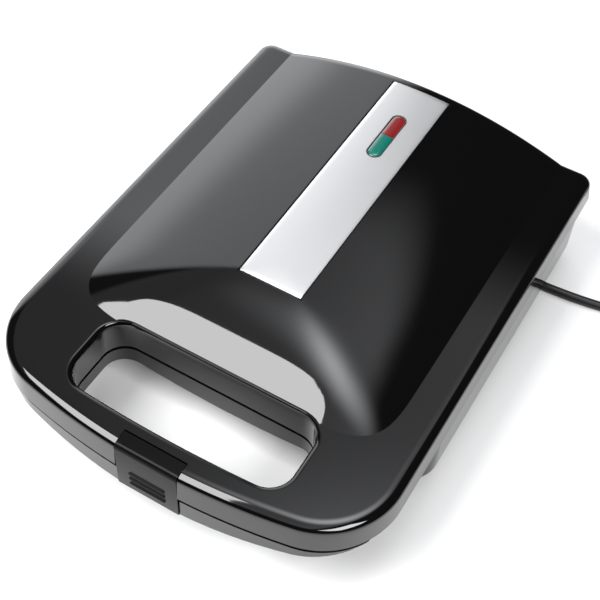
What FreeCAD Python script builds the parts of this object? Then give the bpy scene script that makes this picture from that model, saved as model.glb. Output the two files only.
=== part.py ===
"""Donut maker with seven ring cavities, as an assembly of its separate pieces, in millimetres.

The origin is on the surface that the feet stand on, below the middle of the body.
+X points to the right of someone who faces the latch, +Y to the hinge, and +Z up.
"""
import FreeCAD, Part
import math
import os
import Sketcher
from FreeCAD import Placement, Rotation, Vector

SIZES = {
    # casing
    "body_width": 252.0,
    "body_depth": 338.0,
    "foot_height": 10.0,
    "base_height": 35.0,
    "cover_height": 25.0,
    "crown_rise": 17.5,
    "seam_gap": 0.6,
    "wall": 2.5,
    "front_bow": 430.0,
    "corner_round": 50.0,
    "rear_round": 10.0,
    "edge_round": 4.0,
    "rear_lean": 6.5,
    # crowned top
    "crown_border": 23.7,
    "crown_slope": 57.0,
    "crown_foot": 1.0,
    # handle opening
    "handle_bar": 20.0,
    "opening_depth": 52.0,
    "opening_width": 141.0,
    "opening_bow": 900.0,
    "opening_round": 15.0,
    "handle_drop": 15.0,
    "handle_reach": 119.0,
    # deep part of the base
    "base_setback": 94.0,
    "base_inset": 1.5,
    "base_rear_inset": 5.0,
    "base_round": 20.0,
    "base_edge_round": 6.0,
    # baking plates
    "plate_width": 208.0,
    "plate_depth": 200.0,
    "plate_setback": 206.0,
    "plate_skin": 3.2,
    "ring_radius": 19.0,
    "ring_depth": 12.0,
    "ring_pitch": 67.0,
    "liner_thickness": 2.0,
    "plate_lip": 3.0,
    # heating
    "heater_diameter": 6.5,
    "heater_margin_x": 39.0,
    "heater_margin_y": 25.0,
    "heater_width": "plate_width - 2 * heater_margin_x",
    "heater_depth": "plate_depth - 2 * heater_margin_y",
    "heater_bend": 12.0,
    "heater_tail": 16.0,
    "heater_tail_spacing": 28.0,
    "tray_thickness": 0.8,
    "tray_margin": 8.0,
    "tray_width": "plate_width - 2 * tray_margin",
    "tray_depth": "plate_depth - 2 * tray_margin",
    "tray_clearance": 0.4,
    "post_margin_x": 15.0,
    "post_margin_y": 14.0,
    "post_spacing_x": "plate_width - 2 * post_margin_x",
    "post_spacing_y": "plate_depth - 2 * post_margin_y",
    "liner_screw_inset": 9.0,
    "liner_screw_reach": 92.0,
    # trim and lamps
    "trim_width": 41.0,
    "trim_length": 201.0,
    "trim_setback": 128.0,
    "trim_thickness": 1.0,
    "lens_width": 8.6,
    "lens_length": 42.0,
    "lens_setback": 272.0,
    # hinge
    "hinge_reach": 5.0,
    "knuckle_radius": 4.2,
    "hinge_pin": 3.2,
    "hinge_spacing": 140.0,
    "lid_knuckle": 20.0,
    "base_knuckle": 9.0,
    # latch
    "latch_width": 40.0,
    "latch_depth": 12.0,
    "latch_wall": 3.2,
    "latch_pin": 2.0,
    # mains lead
    "cord_diameter": 6.3,
    # feet and fits
    "foot_radius": 7.0,
    "running_fit": 0.05,
    "clearance": 0.3,
}


class Size:
    """A length as a sheet expression, with the number that it comes to."""

    def __init__(self, text, number):
        self.text = text
        self.number = number

    def __add__(self, other):
        return Size("(%s + %s)" % (self.text, text_of(other)), self.number + number_of(other))

    def __radd__(self, other):
        return Size("(%s + %s)" % (text_of(other), self.text), number_of(other) + self.number)

    def __sub__(self, other):
        return Size("(%s - %s)" % (self.text, text_of(other)), self.number - number_of(other))

    def __rsub__(self, other):
        return Size("(%s - %s)" % (text_of(other), self.text), number_of(other) - self.number)

    def __mul__(self, other):
        return Size("(%s * %s)" % (self.text, text_of(other)), self.number * number_of(other))

    def __truediv__(self, other):
        return Size("(%s / %s)" % (self.text, text_of(other)), self.number / number_of(other))

    def __neg__(self):
        return Size("(0 - %s)" % self.text, -self.number)


def text_of(value):
    """The expression of a Size, or of a plain number."""
    return value.text if isinstance(value, Size) else "%.6g" % value


def number_of(value):
    """The number of a Size, or a plain number as it is."""
    return value.number if isinstance(value, Size) else float(value)


def root(value):
    """The square root of a Size."""
    return Size("sqrt(%s)" % value.text, math.sqrt(value.number))


doc = FreeCAD.newDocument("DonutMaker")
sheet = doc.addObject("Spreadsheet::Sheet", "Sizes")
size = {}
for row, (alias, value) in enumerate(SIZES.items(), start=1):
    sheet.set("A%d" % row, alias)
    sheet.set("B%d" % row, "=" + value if isinstance(value, str) else "%g" % value)
    sheet.setAlias("B%d" % row, alias)
doc.recompute()
for alias in SIZES:
    size[alias] = Size("Sizes." + alias, float(sheet.get(alias)))

WALL = size["wall"]
GAP = size["clearance"]

# Levels, from the surface up
BASE_LOW = size["foot_height"]
SEAM = BASE_LOW + size["base_height"]
LID_LOW = SEAM + size["seam_gap"]
DECK = SEAM + size["cover_height"]
CROWN = DECK + size["crown_rise"]

# Places from front to rear
FRONT = -(size["body_depth"] + size["hinge_reach"] + size["knuckle_radius"]) / 2
REAR = FRONT + size["body_depth"]
HINGE_Y = REAR + size["hinge_reach"]
HINGE_Z = SEAM + size["seam_gap"] / 2
OPENING_FRONT = FRONT + size["handle_bar"]
OPENING_REAR = OPENING_FRONT + size["opening_depth"]
CROWN_FOOT = OPENING_REAR + size["crown_foot"]
BASE_FRONT = FRONT + size["base_setback"]
BASE_REAR = REAR - size["base_rear_inset"]
PLATE_Y = FRONT + size["plate_setback"]
LATCH_REAR = FRONT + size["latch_depth"]
LENS_Y = FRONT + size["lens_setback"]

HALF_WIDTH = size["body_width"] / 2
CROWN_HALF = HALF_WIDTH - size["crown_border"]
OPENING_HALF = size["opening_width"] / 2
LATCH_HALF = size["latch_width"] / 2

subparts = {}


def subpart(name, thing):
    """Names a finished piece of the product; its file takes this name."""
    thing.Label = name
    subparts[name] = thing
    return thing


def bind(thing, **sizes):
    """Ties properties to the sheet."""
    for prop, value in sizes.items():
        thing.setExpression(prop, text_of(value))
    return thing


def place(thing, x, y, z, turn=None):
    """Puts a thing at x, y, z, tied to the sheet, with an optional turn about its own origin."""
    thing.Placement = Placement(Vector(0, 0, 0), turn or Rotation())
    for axis, value in zip("xyz", (x, y, z)):
        thing.setExpression("Placement.Base." + axis, text_of(value))
    return thing


def solid_of(thing):
    """The thing's shape once the document is up to date."""
    doc.recompute()
    return thing.Shape


def new_body(name):
    """An empty PartDesign body."""
    return doc.addObject("PartDesign::Body", name)


def sketch_on(body, name, plane, offset=0):
    """A sketch on one of the body's own origin planes, moved along that plane's normal."""
    sketch = body.newObject("Sketcher::SketchObject", name)
    support = [face for face in body.Origin.OriginFeatures if face.Role == plane][0]
    sketch.AttachmentSupport = (support, [""])
    sketch.MapMode = "FlatFace"
    sketch.setExpression("AttachmentOffset.Base.z", text_of(offset))
    return sketch


def outline(sketch, corners, bow=None):
    """A closed outline through the corners, anticlockwise; with bow its first side is an arc."""
    points = [Vector(number_of(x), number_of(y), 0) for x, y in corners]
    count = len(points)
    for index in range(count):
        start, end = points[index], points[(index + 1) % count]
        if index == 0 and bow is not None:
            chord = end - start
            inward = Vector(-chord.y, chord.x, 0).normalize()
            reach = math.sqrt(bow.number ** 2 - (chord.Length / 2) ** 2)
            centre = (start + end) * 0.5 + inward * reach
            angles = [math.atan2(point.y - centre.y, point.x - centre.x) for point in (start, end)]
            circle = Part.Circle(centre, Vector(0, 0, 1), bow.number)
            sketch.addGeometry(Part.ArcOfCircle(circle, angles[0], angles[1]), False)
            radius = sketch.addConstraint(Sketcher.Constraint("Radius", 0, bow.number))
            sketch.setExpression("Constraints[%d]" % radius, bow.text)
        else:
            sketch.addGeometry(Part.LineSegment(start, end), False)
    for index in range(count):
        sketch.addConstraint(Sketcher.Constraint("Coincident", index, 2, (index + 1) % count, 1))
    for index, corner in enumerate(corners):
        for kind, value in zip(("DistanceX", "DistanceY"), corner):
            constraint = Sketcher.Constraint(kind, -1, 1, index, 1, number_of(value))
            fixed = sketch.addConstraint(constraint)
            sketch.setExpression("Constraints[%d]" % fixed, text_of(value))
    return sketch


def pad(body, sketch, length, both_ways=False):
    """Pads a sketch along its plane's normal."""
    feature = body.newObject("PartDesign::Pad", sketch.Name + "Pad")
    feature.Profile = sketch
    feature.Midplane = both_ways
    return bind(feature, Length=length)


def pocket(body, sketch, length, both_ways=False, turned_round=False):
    """Cuts a sketch out of the body, against its plane's normal, and checks that it cut."""
    before = solid_of(body).Volume
    feature = body.newObject("PartDesign::Pocket", sketch.Name + "Pocket")
    feature.Profile = sketch
    feature.Midplane = both_ways
    feature.Reversed = turned_round
    bind(feature, Length=length)
    if not solid_of(body).Volume < before:
        raise ValueError("%s cuts nothing" % feature.Name)
    return feature


def round_off(body, radius, picked):
    """Rounds the edges of the body's tip that picked() accepts."""
    base = body.Tip
    edges = ["Edge%d" % (place_in_list + 1)
             for place_in_list, edge in enumerate(solid_of(base).Edges) if picked(edge)]
    feature = body.newObject("PartDesign::Fillet", base.Name + "Round")
    feature.Base = (base, edges)
    return bind(feature, Radius=radius)


def is_upright(edge):
    """True for an edge that rises without moving sideways."""
    box = edge.BoundBox
    return box.XLength < 0.01 and box.YLength < 0.01 and box.ZLength > 0.3


def lies_at(edge, level):
    """True for an edge that lies flat at that level."""
    box = edge.BoundBox
    return box.ZLength < 0.01 and abs(box.ZMin - number_of(level)) < 0.01


def block(name, x, y, z, corner=None):
    """An upright block between pairs of limits, with its four standing corners rounded."""
    body = new_body(name)
    corners = [(x[0], y[0]), (x[1], y[0]), (x[1], y[1]), (x[0], y[1])]
    pad(body, outline(sketch_on(body, name + "Plan", "XY_Plane", z[0]), corners), z[1] - z[0])
    if corner is not None:
        round_off(body, corner, is_upright)
    return body


def box(name, x, y, z):
    """A plain box between pairs of limits."""
    thing = doc.addObject("Part::Box", name)
    bind(thing, Length=x[1] - x[0], Width=y[1] - y[0], Height=z[1] - z[0])
    return place(thing, x[0], y[0], z[0])


AXIS_TURN = {
    "x": Rotation(Vector(0, 1, 0), 90),
    "y": Rotation(Vector(1, 0, 0), -90),
    "z": Rotation(),
}


def rod(name, axis, start, radius, length):
    """A cylinder from start, along the positive direction of the axis."""
    thing = doc.addObject("Part::Cylinder", name)
    bind(thing, Radius=radius, Height=length)
    return place(thing, start[0], start[1], start[2], AXIS_TURN[axis])


def joined(name, things):
    """One solid, or a group, from several."""
    thing = doc.addObject("Part::MultiFuse", name)
    thing.Shapes = things
    return thing


def group(name, things):
    """Separate solids of one kind, kept together."""
    thing = doc.addObject("Part::Compound", name)
    thing.Links = things
    return thing


def without(name, base, tools):
    """The base with every tool taken away."""
    thing = doc.addObject("Part::Cut", name)
    thing.Base = base
    thing.Tool = tools[0] if len(tools) == 1 else joined(name + "Tools", tools)
    return thing


def shared(name, first, second):
    """What two things have in common."""
    thing = doc.addObject("Part::Common", name)
    thing.Base = first
    thing.Tool = second
    return thing


def prism(name, plane, corners, middle, length):
    """A bar of the given section, its middle at that distance along the plane's normal."""
    body = new_body(name)
    pad(body, outline(sketch_on(body, name + "Section", plane, middle), corners), length, True)
    return body


def turned(name, half_section):
    """A solid of revolution about its own Z axis, from radius and height pairs."""
    body = new_body(name)
    sketch = outline(sketch_on(body, name + "Section", "XZ_Plane"), half_section)
    feature = body.newObject("PartDesign::Revolution", name + "Turn")
    feature.Profile = sketch
    feature.ReferenceAxis = (sketch, ["V_Axis"])
    feature.Angle = 360
    return body


def at_corners(half_x, half_y):
    """The four places at plus and minus these distances."""
    return [(half_x * x, half_y * y) for x in (-1, 1) for y in (-1, 1)]


def casing(name, inset, low, high, top_round=None):
    """The casing's plan, bowed at the front and leaning at the rear, drawn in by an inset."""
    bow = size["front_bow"] - inset
    half = HALF_WIDTH - inset
    bow_centre = FRONT + size["front_bow"]
    corner_y = bow_centre - root(bow * bow - half * half)
    rear = REAR - inset
    body = new_body(name)
    plan = outline(sketch_on(body, name + "Plan", "XY_Plane", low),
                   [(-half, corner_y), (half, corner_y), (half, rear), (-half, rear)], bow)
    pad(body, plan, high - low)
    lean = size["rear_lean"] * (high - low) / size["cover_height"]
    wedge = outline(sketch_on(body, name + "Lean", "YZ_Plane"),
                    [(rear, low), (rear + 30, low), (rear + 30, high + 30),
                     (rear - lean - lean * 30 / (high - low), high + 30)])
    pocket(body, wedge, size["body_width"] * 2, True)
    round_off(body, size["corner_round"] - inset, lambda edge: is_upright(edge) and edge.BoundBox.YMax < 0)
    rise = (high - low).number
    round_off(body, size["rear_round"] - inset,
              lambda edge: abs(edge.BoundBox.ZLength - rise) < 0.01 and edge.BoundBox.YMin > 0)
    if top_round is not None:
        round_off(body, top_round, lambda edge: lies_at(edge, high))
    return body


def crown_height(x, y):
    """The crowned top's height over the deck: level from front to rear, then rounding down."""
    across = abs(x) / number_of(CROWN_HALF)
    slope = number_of(size["crown_slope"])
    along = max(0.0, (number_of(CROWN_FOOT) + slope - y) / slope)
    return number_of(size["crown_rise"]) * (1 - math.sqrt(across ** 4 + along ** 4))


def crown_slab(name, half, y, top, thickness):
    """A slab under the crowned top, whose upper face is the crown moved to another level."""
    columns = 11
    rows = 13
    low, high = number_of(y[0]), number_of(y[1])
    points = []
    for row in range(rows):
        row_y = low + (high - low) * row / (rows - 1)
        row_x = [number_of(half) * (2 * column / (columns - 1) - 1) for column in range(columns)]
        points.append([Vector(x, row_y, number_of(top) + crown_height(x, row_y)) for x in row_x])
    surface = Part.BSplineSurface()
    surface.interpolate(points)
    thing = doc.addObject("Part::Feature", name)
    thing.Shape = surface.toShape().extrude(Vector(0, 0, -number_of(thickness)))
    return thing


def crown_dome(name, half, y, top):
    """The whole of the crown above a level that lies a little under the deck."""
    slab = crown_slab(name + "Slab", half, y, top, size["crown_rise"] + 12)
    room = box(name + "Room", (-HALF_WIDTH, HALF_WIDTH), (FRONT, REAR), (top - 5, CROWN + 5))
    return shared(name, slab, room)


def opening_plug(name, grow, low, high):
    """The handle opening's outline as a solid, grown on all sides."""
    half = OPENING_HALF + grow
    bow = size["opening_bow"]
    rise = bow - root(bow * bow - half * half)
    body = new_body(name)
    front = OPENING_FRONT - grow + rise
    rear = OPENING_REAR + grow
    plan = outline(sketch_on(body, name + "Plan", "XY_Plane", low),
                   [(-half, front), (half, front), (half, rear), (-half, rear)], bow)
    pad(body, plan, high - low)
    round_off(body, size["opening_round"] + grow, is_upright)
    return body


def path_through(points, radii=None):
    """Straight runs joined by tangent arcs, as large as the two runs at each point allow."""
    edges = []
    start = points[0]
    used = []
    for index in range(1, len(points) - 1):
        before = points[index - 1] - points[index]
        after = points[index + 1] - points[index]
        turn = math.pi - before.getAngle(after)
        half_tan = math.tan(turn / 2)
        radius = 0.45 * min(before.Length, after.Length) / half_tan
        if radii:
            radius = radii
        reach = radius * half_tan
        arc_start = points[index] + before.normalize() * reach
        arc_end = points[index] + after.normalize() * reach
        bisector = (before + after).normalize()
        centre_distance = math.hypot(radius, reach)
        arc_middle = points[index] + bisector * (centre_distance - radius)
        edges.append(Part.LineSegment(start, arc_start).toShape())
        edges.append(Part.Arc(arc_start, arc_middle, arc_end).toShape())
        start = arc_end
        used.append(radius)
    edges.append(Part.LineSegment(start, points[-1]).toShape())
    return Part.Wire(edges), used


def tube(name, points, diameter, radii=None):
    """A round bar swept along a path, with its volume checked against section times length."""
    path, used = path_through(points, radii)
    section = Part.Wire(Part.Circle(points[0], points[1] - points[0], diameter / 2).toShape())
    thing = doc.addObject("Part::Feature", name)
    thing.Shape = path.makePipeShell([section], True, True)
    expected = math.pi * diameter ** 2 / 4 * path.Length
    print("%s: length %.1f mm, volume ratio %.4f, radii %s"
          % (name, path.Length, thing.Shape.Volume / expected, ["%.0f" % radius for radius in used]))
    return thing


# ---------------------------------------------------------------- upper cover
def hinge_barrels(name, width, offsets, up):
    """Barrels round the hinge line, each with a web to the wall in front of it."""
    things = []
    for side in (-1, 1):
        for offset in offsets:
            middle = size["hinge_spacing"] / 2 * side + offset
            low, high = middle - width / 2, middle + width / 2
            barrel_name = "%s%d" % (name, len(things))
            barrel = rod(barrel_name, "x", (low, HINGE_Y, HINGE_Z), size["knuckle_radius"], width)
            z = (HINGE_Z + 0.6, HINGE_Z + size["knuckle_radius"]) if up else (
                HINGE_Z - size["knuckle_radius"], HINGE_Z - 0.6)
            wall_y = REAR - WALL / 2 if up else BASE_REAR - WALL / 2
            web = box(barrel_name + "Web", (low, high), (wall_y, HINGE_Y), z)
            things += [barrel, web]
    return things


def upper_cover():
    """The glossy shell of the lid: crowned top, handle walls, latch recess, posts and barrels."""
    outside = joined("CoverOutside", [
        casing("CoverBlock", 0, LID_LOW, DECK, size["edge_round"]),
        crown_dome("CoverCrown", CROWN_HALF, (CROWN_FOOT, REAR - size["rear_lean"] - WALL), DECK)])
    inside = joined("CoverInside", [
        casing("CoverHollow", WALL, LID_LOW - 1, DECK - WALL),
        crown_dome("CrownHollow", CROWN_HALF - WALL,
                   (CROWN_FOOT + WALL, REAR - size["rear_lean"] - WALL * 2), DECK - WALL)])
    shell = without("CoverShell", outside, [inside])
    handle_wall = opening_plug("HandleWall", WALL, LID_LOW, DECK - WALL / 2)
    latch_wall = box("LatchRecessWall", (-LATCH_HALF - WALL - GAP, LATCH_HALF + WALL + GAP),
                     (FRONT + WALL / 2, LATCH_REAR + WALL + GAP), (LID_LOW, DECK - WALL / 2))
    posts = []
    tray_top = LID_LOW + tray_back()
    for index, (x, y) in enumerate(at_corners(1, 1)):
        post_x, post_y = size["post_spacing_x"] / 2 * x, PLATE_Y + size["post_spacing_y"] / 2 * y
        posts.append(rod("CoverPost%d" % index, "z", (post_x, post_y, tray_top), 4, CROWN - tray_top))
        boss_x = (HALF_WIDTH - size["liner_screw_inset"]) * x
        boss_y = PLATE_Y + size["liner_screw_reach"] * y
        boss_low = LID_LOW + size["liner_thickness"]
        boss = rod("CoverBoss%d" % index, "z", (boss_x, boss_y, boss_low), 4, DECK - 1 - boss_low)
        posts.append(boss)
    barrels = hinge_barrels("LidBarrel", size["lid_knuckle"], [0], True)
    inner = shared("CoverInner", joined("CoverInnerParts", [handle_wall, latch_wall] + posts), outside)
    body = joined("CoverBody", [shell, inner] + barrels)
    cuts = [
        opening_plug("HandleHole", 0, LID_LOW - 5, DECK + 5),
        box("LatchRecess", (-LATCH_HALF - GAP, LATCH_HALF + GAP), (FRONT - 5, LATCH_REAR + GAP),
            (LID_LOW - 5, DECK + 5)),
        rod("LatchPinHole", "x", (-LATCH_HALF - WALL * 2, LATCH_PIVOT_Y, LATCH_PIVOT_Z),
            size["latch_pin"] / 2, LATCH_HALF * 2 + WALL * 4),
        crown_slab("TrimRecess", size["trim_width"] / 2 + 1,
                   (TRIM_FRONT - 1, REAR - size["rear_lean"] + 5), DECK + 4,
                   size["trim_thickness"] + 4.1),
        block("LensHole", (-size["lens_width"] / 2 - GAP, size["lens_width"] / 2 + GAP),
              (LENS_Y - size["lens_length"] / 2 - GAP, LENS_Y + size["lens_length"] / 2 + GAP),
              (DECK, CROWN + 5), size["lens_width"] / 2 + GAP - 0.05),
    ]
    for index, side in enumerate((-1, 1)):
        low = size["hinge_spacing"] / 2 * side - size["lid_knuckle"]
        bore = size["hinge_pin"] / 2 + size["running_fit"]
        cuts.append(rod("LidBore%d" % index, "x", (low, HINGE_Y, HINGE_Z), bore, size["lid_knuckle"] * 2))
    for index, (x, y) in enumerate(at_corners(1, 1)):
        cuts.append(rod("BossBore%d" % index, "z", ((HALF_WIDTH - size["liner_screw_inset"]) * x, PLATE_Y + size["liner_screw_reach"] * y, LID_LOW - 5),
                        1.4, 15))
    return subpart("upper_cover", without("CoverFinished", body, cuts))


def tray_back():
    """How far behind its baking face a plate's heat tray ends."""
    bulge = size["ring_depth"] + size["plate_skin"]
    return bulge + GAP + size["heater_diameter"] + GAP + size["tray_thickness"]


# ---------------------------------------------------------------- trim, lenses and lamps
TRIM_FRONT = FRONT + size["trim_setback"]
LATCH_PIVOT_Y = LATCH_REAR - 4.5
LATCH_PIVOT_Z = DECK - 1.9
LATCH_BEVEL = 0.7


def lens_half(name, y, rounded_at_front):
    """Half of the oval lens, with one round end, standing just proud of the trim."""
    radius = size["lens_width"] / 2
    flange = DECK + size["crown_rise"] - 4
    bar = block(name + "Bar", (-radius, radius),
                (y[0] + radius if rounded_at_front else y[0], y[1] if rounded_at_front else y[1] - radius),
                (flange, CROWN + 0.8))
    end_y = y[0] + radius if rounded_at_front else y[1] - radius
    end = rod(name + "End", "z", (0, end_y, flange), radius, CROWN + 0.8 - flange)
    return joined(name, [bar, end])


def trim_and_lamps():
    """The curved trim plate, the two lenses in its slot, and the lamps below them."""
    plate = crown_slab("TrimSlab", size["trim_width"] / 2,
                       (TRIM_FRONT, TRIM_FRONT + size["trim_length"]), DECK, size["trim_thickness"])
    slot = block("TrimSlot", (-size["lens_width"] / 2 - 0.6, size["lens_width"] / 2 + 0.6),
                 (LENS_Y - size["lens_length"] / 2 - 0.6, LENS_Y + size["lens_length"] / 2 + 0.6),
                 (DECK, CROWN + 5), size["lens_width"] / 2 + 0.55)
    subpart("trim_plate", without("TrimFinished", plate, [slot]))
    front, rear = LENS_Y - size["lens_length"] / 2, LENS_Y + size["lens_length"] / 2
    subpart("ready_lens", lens_half("ReadyLens", (front, LENS_Y - 0.2), True))
    subpart("power_lens", lens_half("PowerLens", (LENS_Y + 0.2, rear), False))
    lamp_z = CROWN - 8
    lamps = [rod("Lamp%d" % index, "y", (0, LENS_Y + start, lamp_z), 2.5, 13)
             for index, start in enumerate((-17, 4))]
    subpart("indicator_lamps", group("Lamps", lamps))
    holder = box("HolderTray", (-6, 6), (front - 4, rear + 4), (lamp_z - 4.5, CROWN - WALL - 1.6))
    hollow = box("HolderHollow", (-4, 4), (front - 1, rear + 1), (lamp_z - 2.5, CROWN + 2))
    subpart("lamp_holder", without("HolderFinished", holder, [hollow]))


# ---------------------------------------------------------------- latch
def latch():
    """The latch that hangs in the front of the lid, its pin, and its finger ribs."""
    inner = size["latch_wall"]
    front = FRONT
    low = HANDLE_LOW
    corners = [
        (LATCH_REAR, DECK - LATCH_BEVEL), (LATCH_REAR - LATCH_BEVEL, DECK), (front + 1.6, DECK - 0.4), (front + 0.3, DECK - 3.5), (front, DECK - 14),
        (front + 0.3, low + 6), (front + 1.4, low), (front + inner + 1.6, low),
        (front + inner + 1.6, low + 3.4), (front + inner + 0.3, low + 5),
        (front + inner, DECK - 14), (front + inner + 0.6, DECK - 6),
        (LATCH_REAR - 7.5, DECK - 3.8), (LATCH_REAR - LATCH_BEVEL, DECK - 3.8),
        (LATCH_REAR, DECK - 3.8 + LATCH_BEVEL)]
    shape = prism("LatchShape", "YZ_Plane", corners, 0, size["latch_width"])
    ribs = [rod("LatchRib%d" % index, "x", (-12, front + 0.5, SEAM + level), 1.1, 24)
            for index, level in enumerate((-7, -2, 3))]
    bar = joined("LatchBar", [shape] + ribs)
    limit = box("LatchFront", (-LATCH_HALF - 5, LATCH_HALF + 5), (front, LATCH_REAR + 5), (0, DECK + 5))
    kept = shared("LatchTrimmed", bar, limit)
    bore = rod("LatchBore", "x", (-LATCH_HALF - 1, LATCH_PIVOT_Y, LATCH_PIVOT_Z),
               size["latch_pin"] / 2 + size["running_fit"], size["latch_width"] + 2)
    subpart("latch_clip", without("LatchFinished", kept, [bore]))
    subpart("latch_pin", rod("LatchPin", "x", (-LATCH_HALF - WALL, LATCH_PIVOT_Y, LATCH_PIVOT_Z),
                             size["latch_pin"] / 2, size["latch_width"] + WALL * 2))


# ---------------------------------------------------------------- liners
HANDLE_LOW = SEAM - size["handle_drop"]


def liners():
    """The two frames that close the lid and the base round their baking plates."""
    thickness = size["liner_thickness"]
    plate_gap = GAP
    half_x, half_y = size["plate_width"] / 2 + plate_gap, size["plate_depth"] / 2 + plate_gap
    inset = WALL + GAP

    def plate_hole(name, low):
        """The way through for a plate's baking face."""
        return block(name, (-half_x, half_x), (PLATE_Y - half_y, PLATE_Y + half_y),
                     (low - 1, low + thickness + 1), 6)

    frame = casing("UpperFrame", inset, LID_LOW, LID_LOW + thickness)
    cuts = [plate_hole("UpperFrameHole", LID_LOW),
            opening_plug("UpperFrameHandle", WALL + GAP, LID_LOW - 1, LID_LOW + thickness + 1),
            box("UpperFrameLatch", (-LATCH_HALF - WALL - GAP * 2, LATCH_HALF + WALL + GAP * 2),
                (FRONT - 5, LATCH_REAR + WALL + GAP * 2), (LID_LOW - 1, LID_LOW + thickness + 1))]
    for index, (x, y) in enumerate(at_corners(1, 1)):
        cuts.append(rod("FrameHole%d" % index, "z",
                        ((HALF_WIDTH - size["liner_screw_inset"]) * x, PLATE_Y + size["liner_screw_reach"] * y, LID_LOW - 1), 1.6, 6))
    subpart("upper_liner", without("UpperLiner", frame, cuts))

    side = HALF_WIDTH - size["base_inset"] - inset
    rear_part = block("LowerFrameRear", (-side, side),
                      (BASE_FRONT + inset, BASE_REAR - inset), (SEAM - thickness, SEAM),
                      size["base_round"] - inset)
    front_limit = box("LowerFrameLimit", (-HANDLE_INNER, HANDLE_INNER),
                      (FRONT - 5, BASE_FRONT + inset + 12), (SEAM - 10, SEAM + 10))
    front_part = shared("LowerFrameFront",
                        casing("LowerFramePlan", inset + size["base_inset"], SEAM - thickness, SEAM),
                        front_limit)
    cuts = [plate_hole("LowerFrameHole", SEAM - thickness),
            opening_plug("LowerFrameHandle", WALL + GAP, SEAM - thickness - 1, SEAM + 1),
            box("LowerFrameLatch", (-LATCH_HALF - WALL - GAP * 2, LATCH_HALF + WALL + GAP * 2),
                (FRONT - 5, FRONT + CATCH_DEPTH + WALL + GAP), (SEAM - thickness - 1, SEAM + 1))]
    both = joined("LowerFrame", [rear_part, front_part])
    subpart("lower_liner", without("LowerLiner", both, cuts))


HANDLE_INNER = 88
CATCH_DEPTH = 6.5


# ---------------------------------------------------------------- baking plates and their heating
def ring_places():
    """Where the ring cavities lie: one in the middle and six round it."""
    pitch = number_of(size["ring_pitch"])
    around = [(pitch * math.cos(math.radians(60 * step)), pitch * math.sin(math.radians(60 * step)))
              for step in range(6)]
    return [(0.0, 0.0)] + around


def seat(thing, upper):
    """Puts a thing drawn on a plate at its place, face up in the base or face down in the lid."""
    turn = Rotation(Vector(0, 1, 0), 180) if upper else Rotation()
    return place(thing, 0, PLATE_Y, LID_LOW if upper else SEAM, turn)


PLATE_BACK = 0 - size["liner_thickness"] - 1.3


def baking_plate(name, upper):
    """A thin casting: a face with seven ring cavities, a lip behind the liner, and four bosses."""
    skin = size["plate_skin"]
    half_x, half_y = size["plate_width"] / 2, size["plate_depth"] / 2
    lip = size["plate_lip"]
    face = block(name + "Face", (-half_x, half_x), (-half_y, half_y), (PLATE_BACK, 0), 6)
    rim = block(name + "Rim", (-half_x - lip, half_x + lip), (-half_y - lip, half_y + lip),
                (PLATE_BACK, 0 - size["liner_thickness"] - 0.1), 8)
    bulges = []
    hollows = []
    pitch = size["ring_pitch"]
    for index, (x, y) in enumerate(ring_places()):
        ring_x = pitch * (x / pitch.number)
        ring_y = pitch * (y / pitch.number)
        for things, kind, radius in ((bulges, "Bulge", size["ring_depth"] + skin),
                                     (hollows, "Hollow", size["ring_depth"])):
            ring = doc.addObject("Part::Torus", "%s%s%d" % (name, kind, index))
            bind(ring, Radius1=size["ring_radius"], Radius2=radius)
            things.append(place(ring, ring_x, ring_y, 0))
    below = box(name + "Below", (-half_x, half_x), (-half_y, half_y), (Size("-30", -30), 0))
    bosses = [rod("%sBoss%d" % (name, index), "z",
                  (size["post_spacing_x"] / 2 * x, size["post_spacing_y"] / 2 * y,
                   size["tray_thickness"] - tray_back()), 4.5, tray_back() - size["tray_thickness"] - 1)
              for index, (x, y) in enumerate(at_corners(1, 1))]
    casting = joined(name + "Casting",
                     [face, rim, shared(name + "Bulges", joined(name + "Rings", bulges), below)] + bosses)
    bores = [rod("%sBore%d" % (name, index), "z",
                 (size["post_spacing_x"] / 2 * x, size["post_spacing_y"] / 2 * y, -30), 1.5, 24)
             for index, (x, y) in enumerate(at_corners(1, 1))]
    return subpart(name, seat(without(name + "Casting2", casting, hollows + bores), upper))


def heating(prefix, upper):
    """The element, its tray, and the screws that clamp the tray to the plate's bosses."""
    bulge = number_of(size["ring_depth"] + size["plate_skin"])
    diameter = number_of(size["heater_diameter"])
    level = -(bulge + number_of(GAP) + diameter / 2)
    half_x, half_y = number_of(size["heater_width"]) / 2, number_of(size["heater_depth"]) / 2
    tail_x = number_of(size["heater_tail_spacing"]) / 2
    tail_y = half_y + number_of(size["heater_tail"])
    plan = [(-tail_x, tail_y), (-tail_x, half_y), (-half_x, half_y), (-half_x, -half_y),
            (half_x, -half_y), (half_x, half_y), (tail_x, half_y), (tail_x, tail_y)]
    points = [Vector(x, y, level) for x, y in plan]
    element = tube(prefix + "Element", points, diameter, number_of(size["heater_bend"]))
    subpart(prefix + "_heater", seat(element, upper))
    low = 0 - tray_back()
    tray = block(prefix + "TraySheet", (-size["tray_width"] / 2, size["tray_width"] / 2),
                 (-size["tray_depth"] / 2, size["tray_depth"] / 2),
                 (low, low + size["tray_thickness"]), 6)
    holes = [rod("%sTrayHole%d" % (prefix, index), "z",
                 (size["post_spacing_x"] / 2 * x, size["post_spacing_y"] / 2 * y, low - 1), 1.5, 4)
             for index, (x, y) in enumerate(at_corners(1, 1))]
    subpart(prefix + "_heat_tray", seat(without(prefix + "Tray", tray, holes), upper))


def screw(name, x, y, head_low, head_height, head_radius, shank_radius, shank_length):
    """A pan-head screw standing on its head."""
    head = rod(name + "Head", "z", (x, y, head_low), head_radius, head_height)
    shank = rod(name + "Shank", "z", (x, y, head_low + head_height), shank_radius, shank_length)
    return joined(name, [head, shank])


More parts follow.
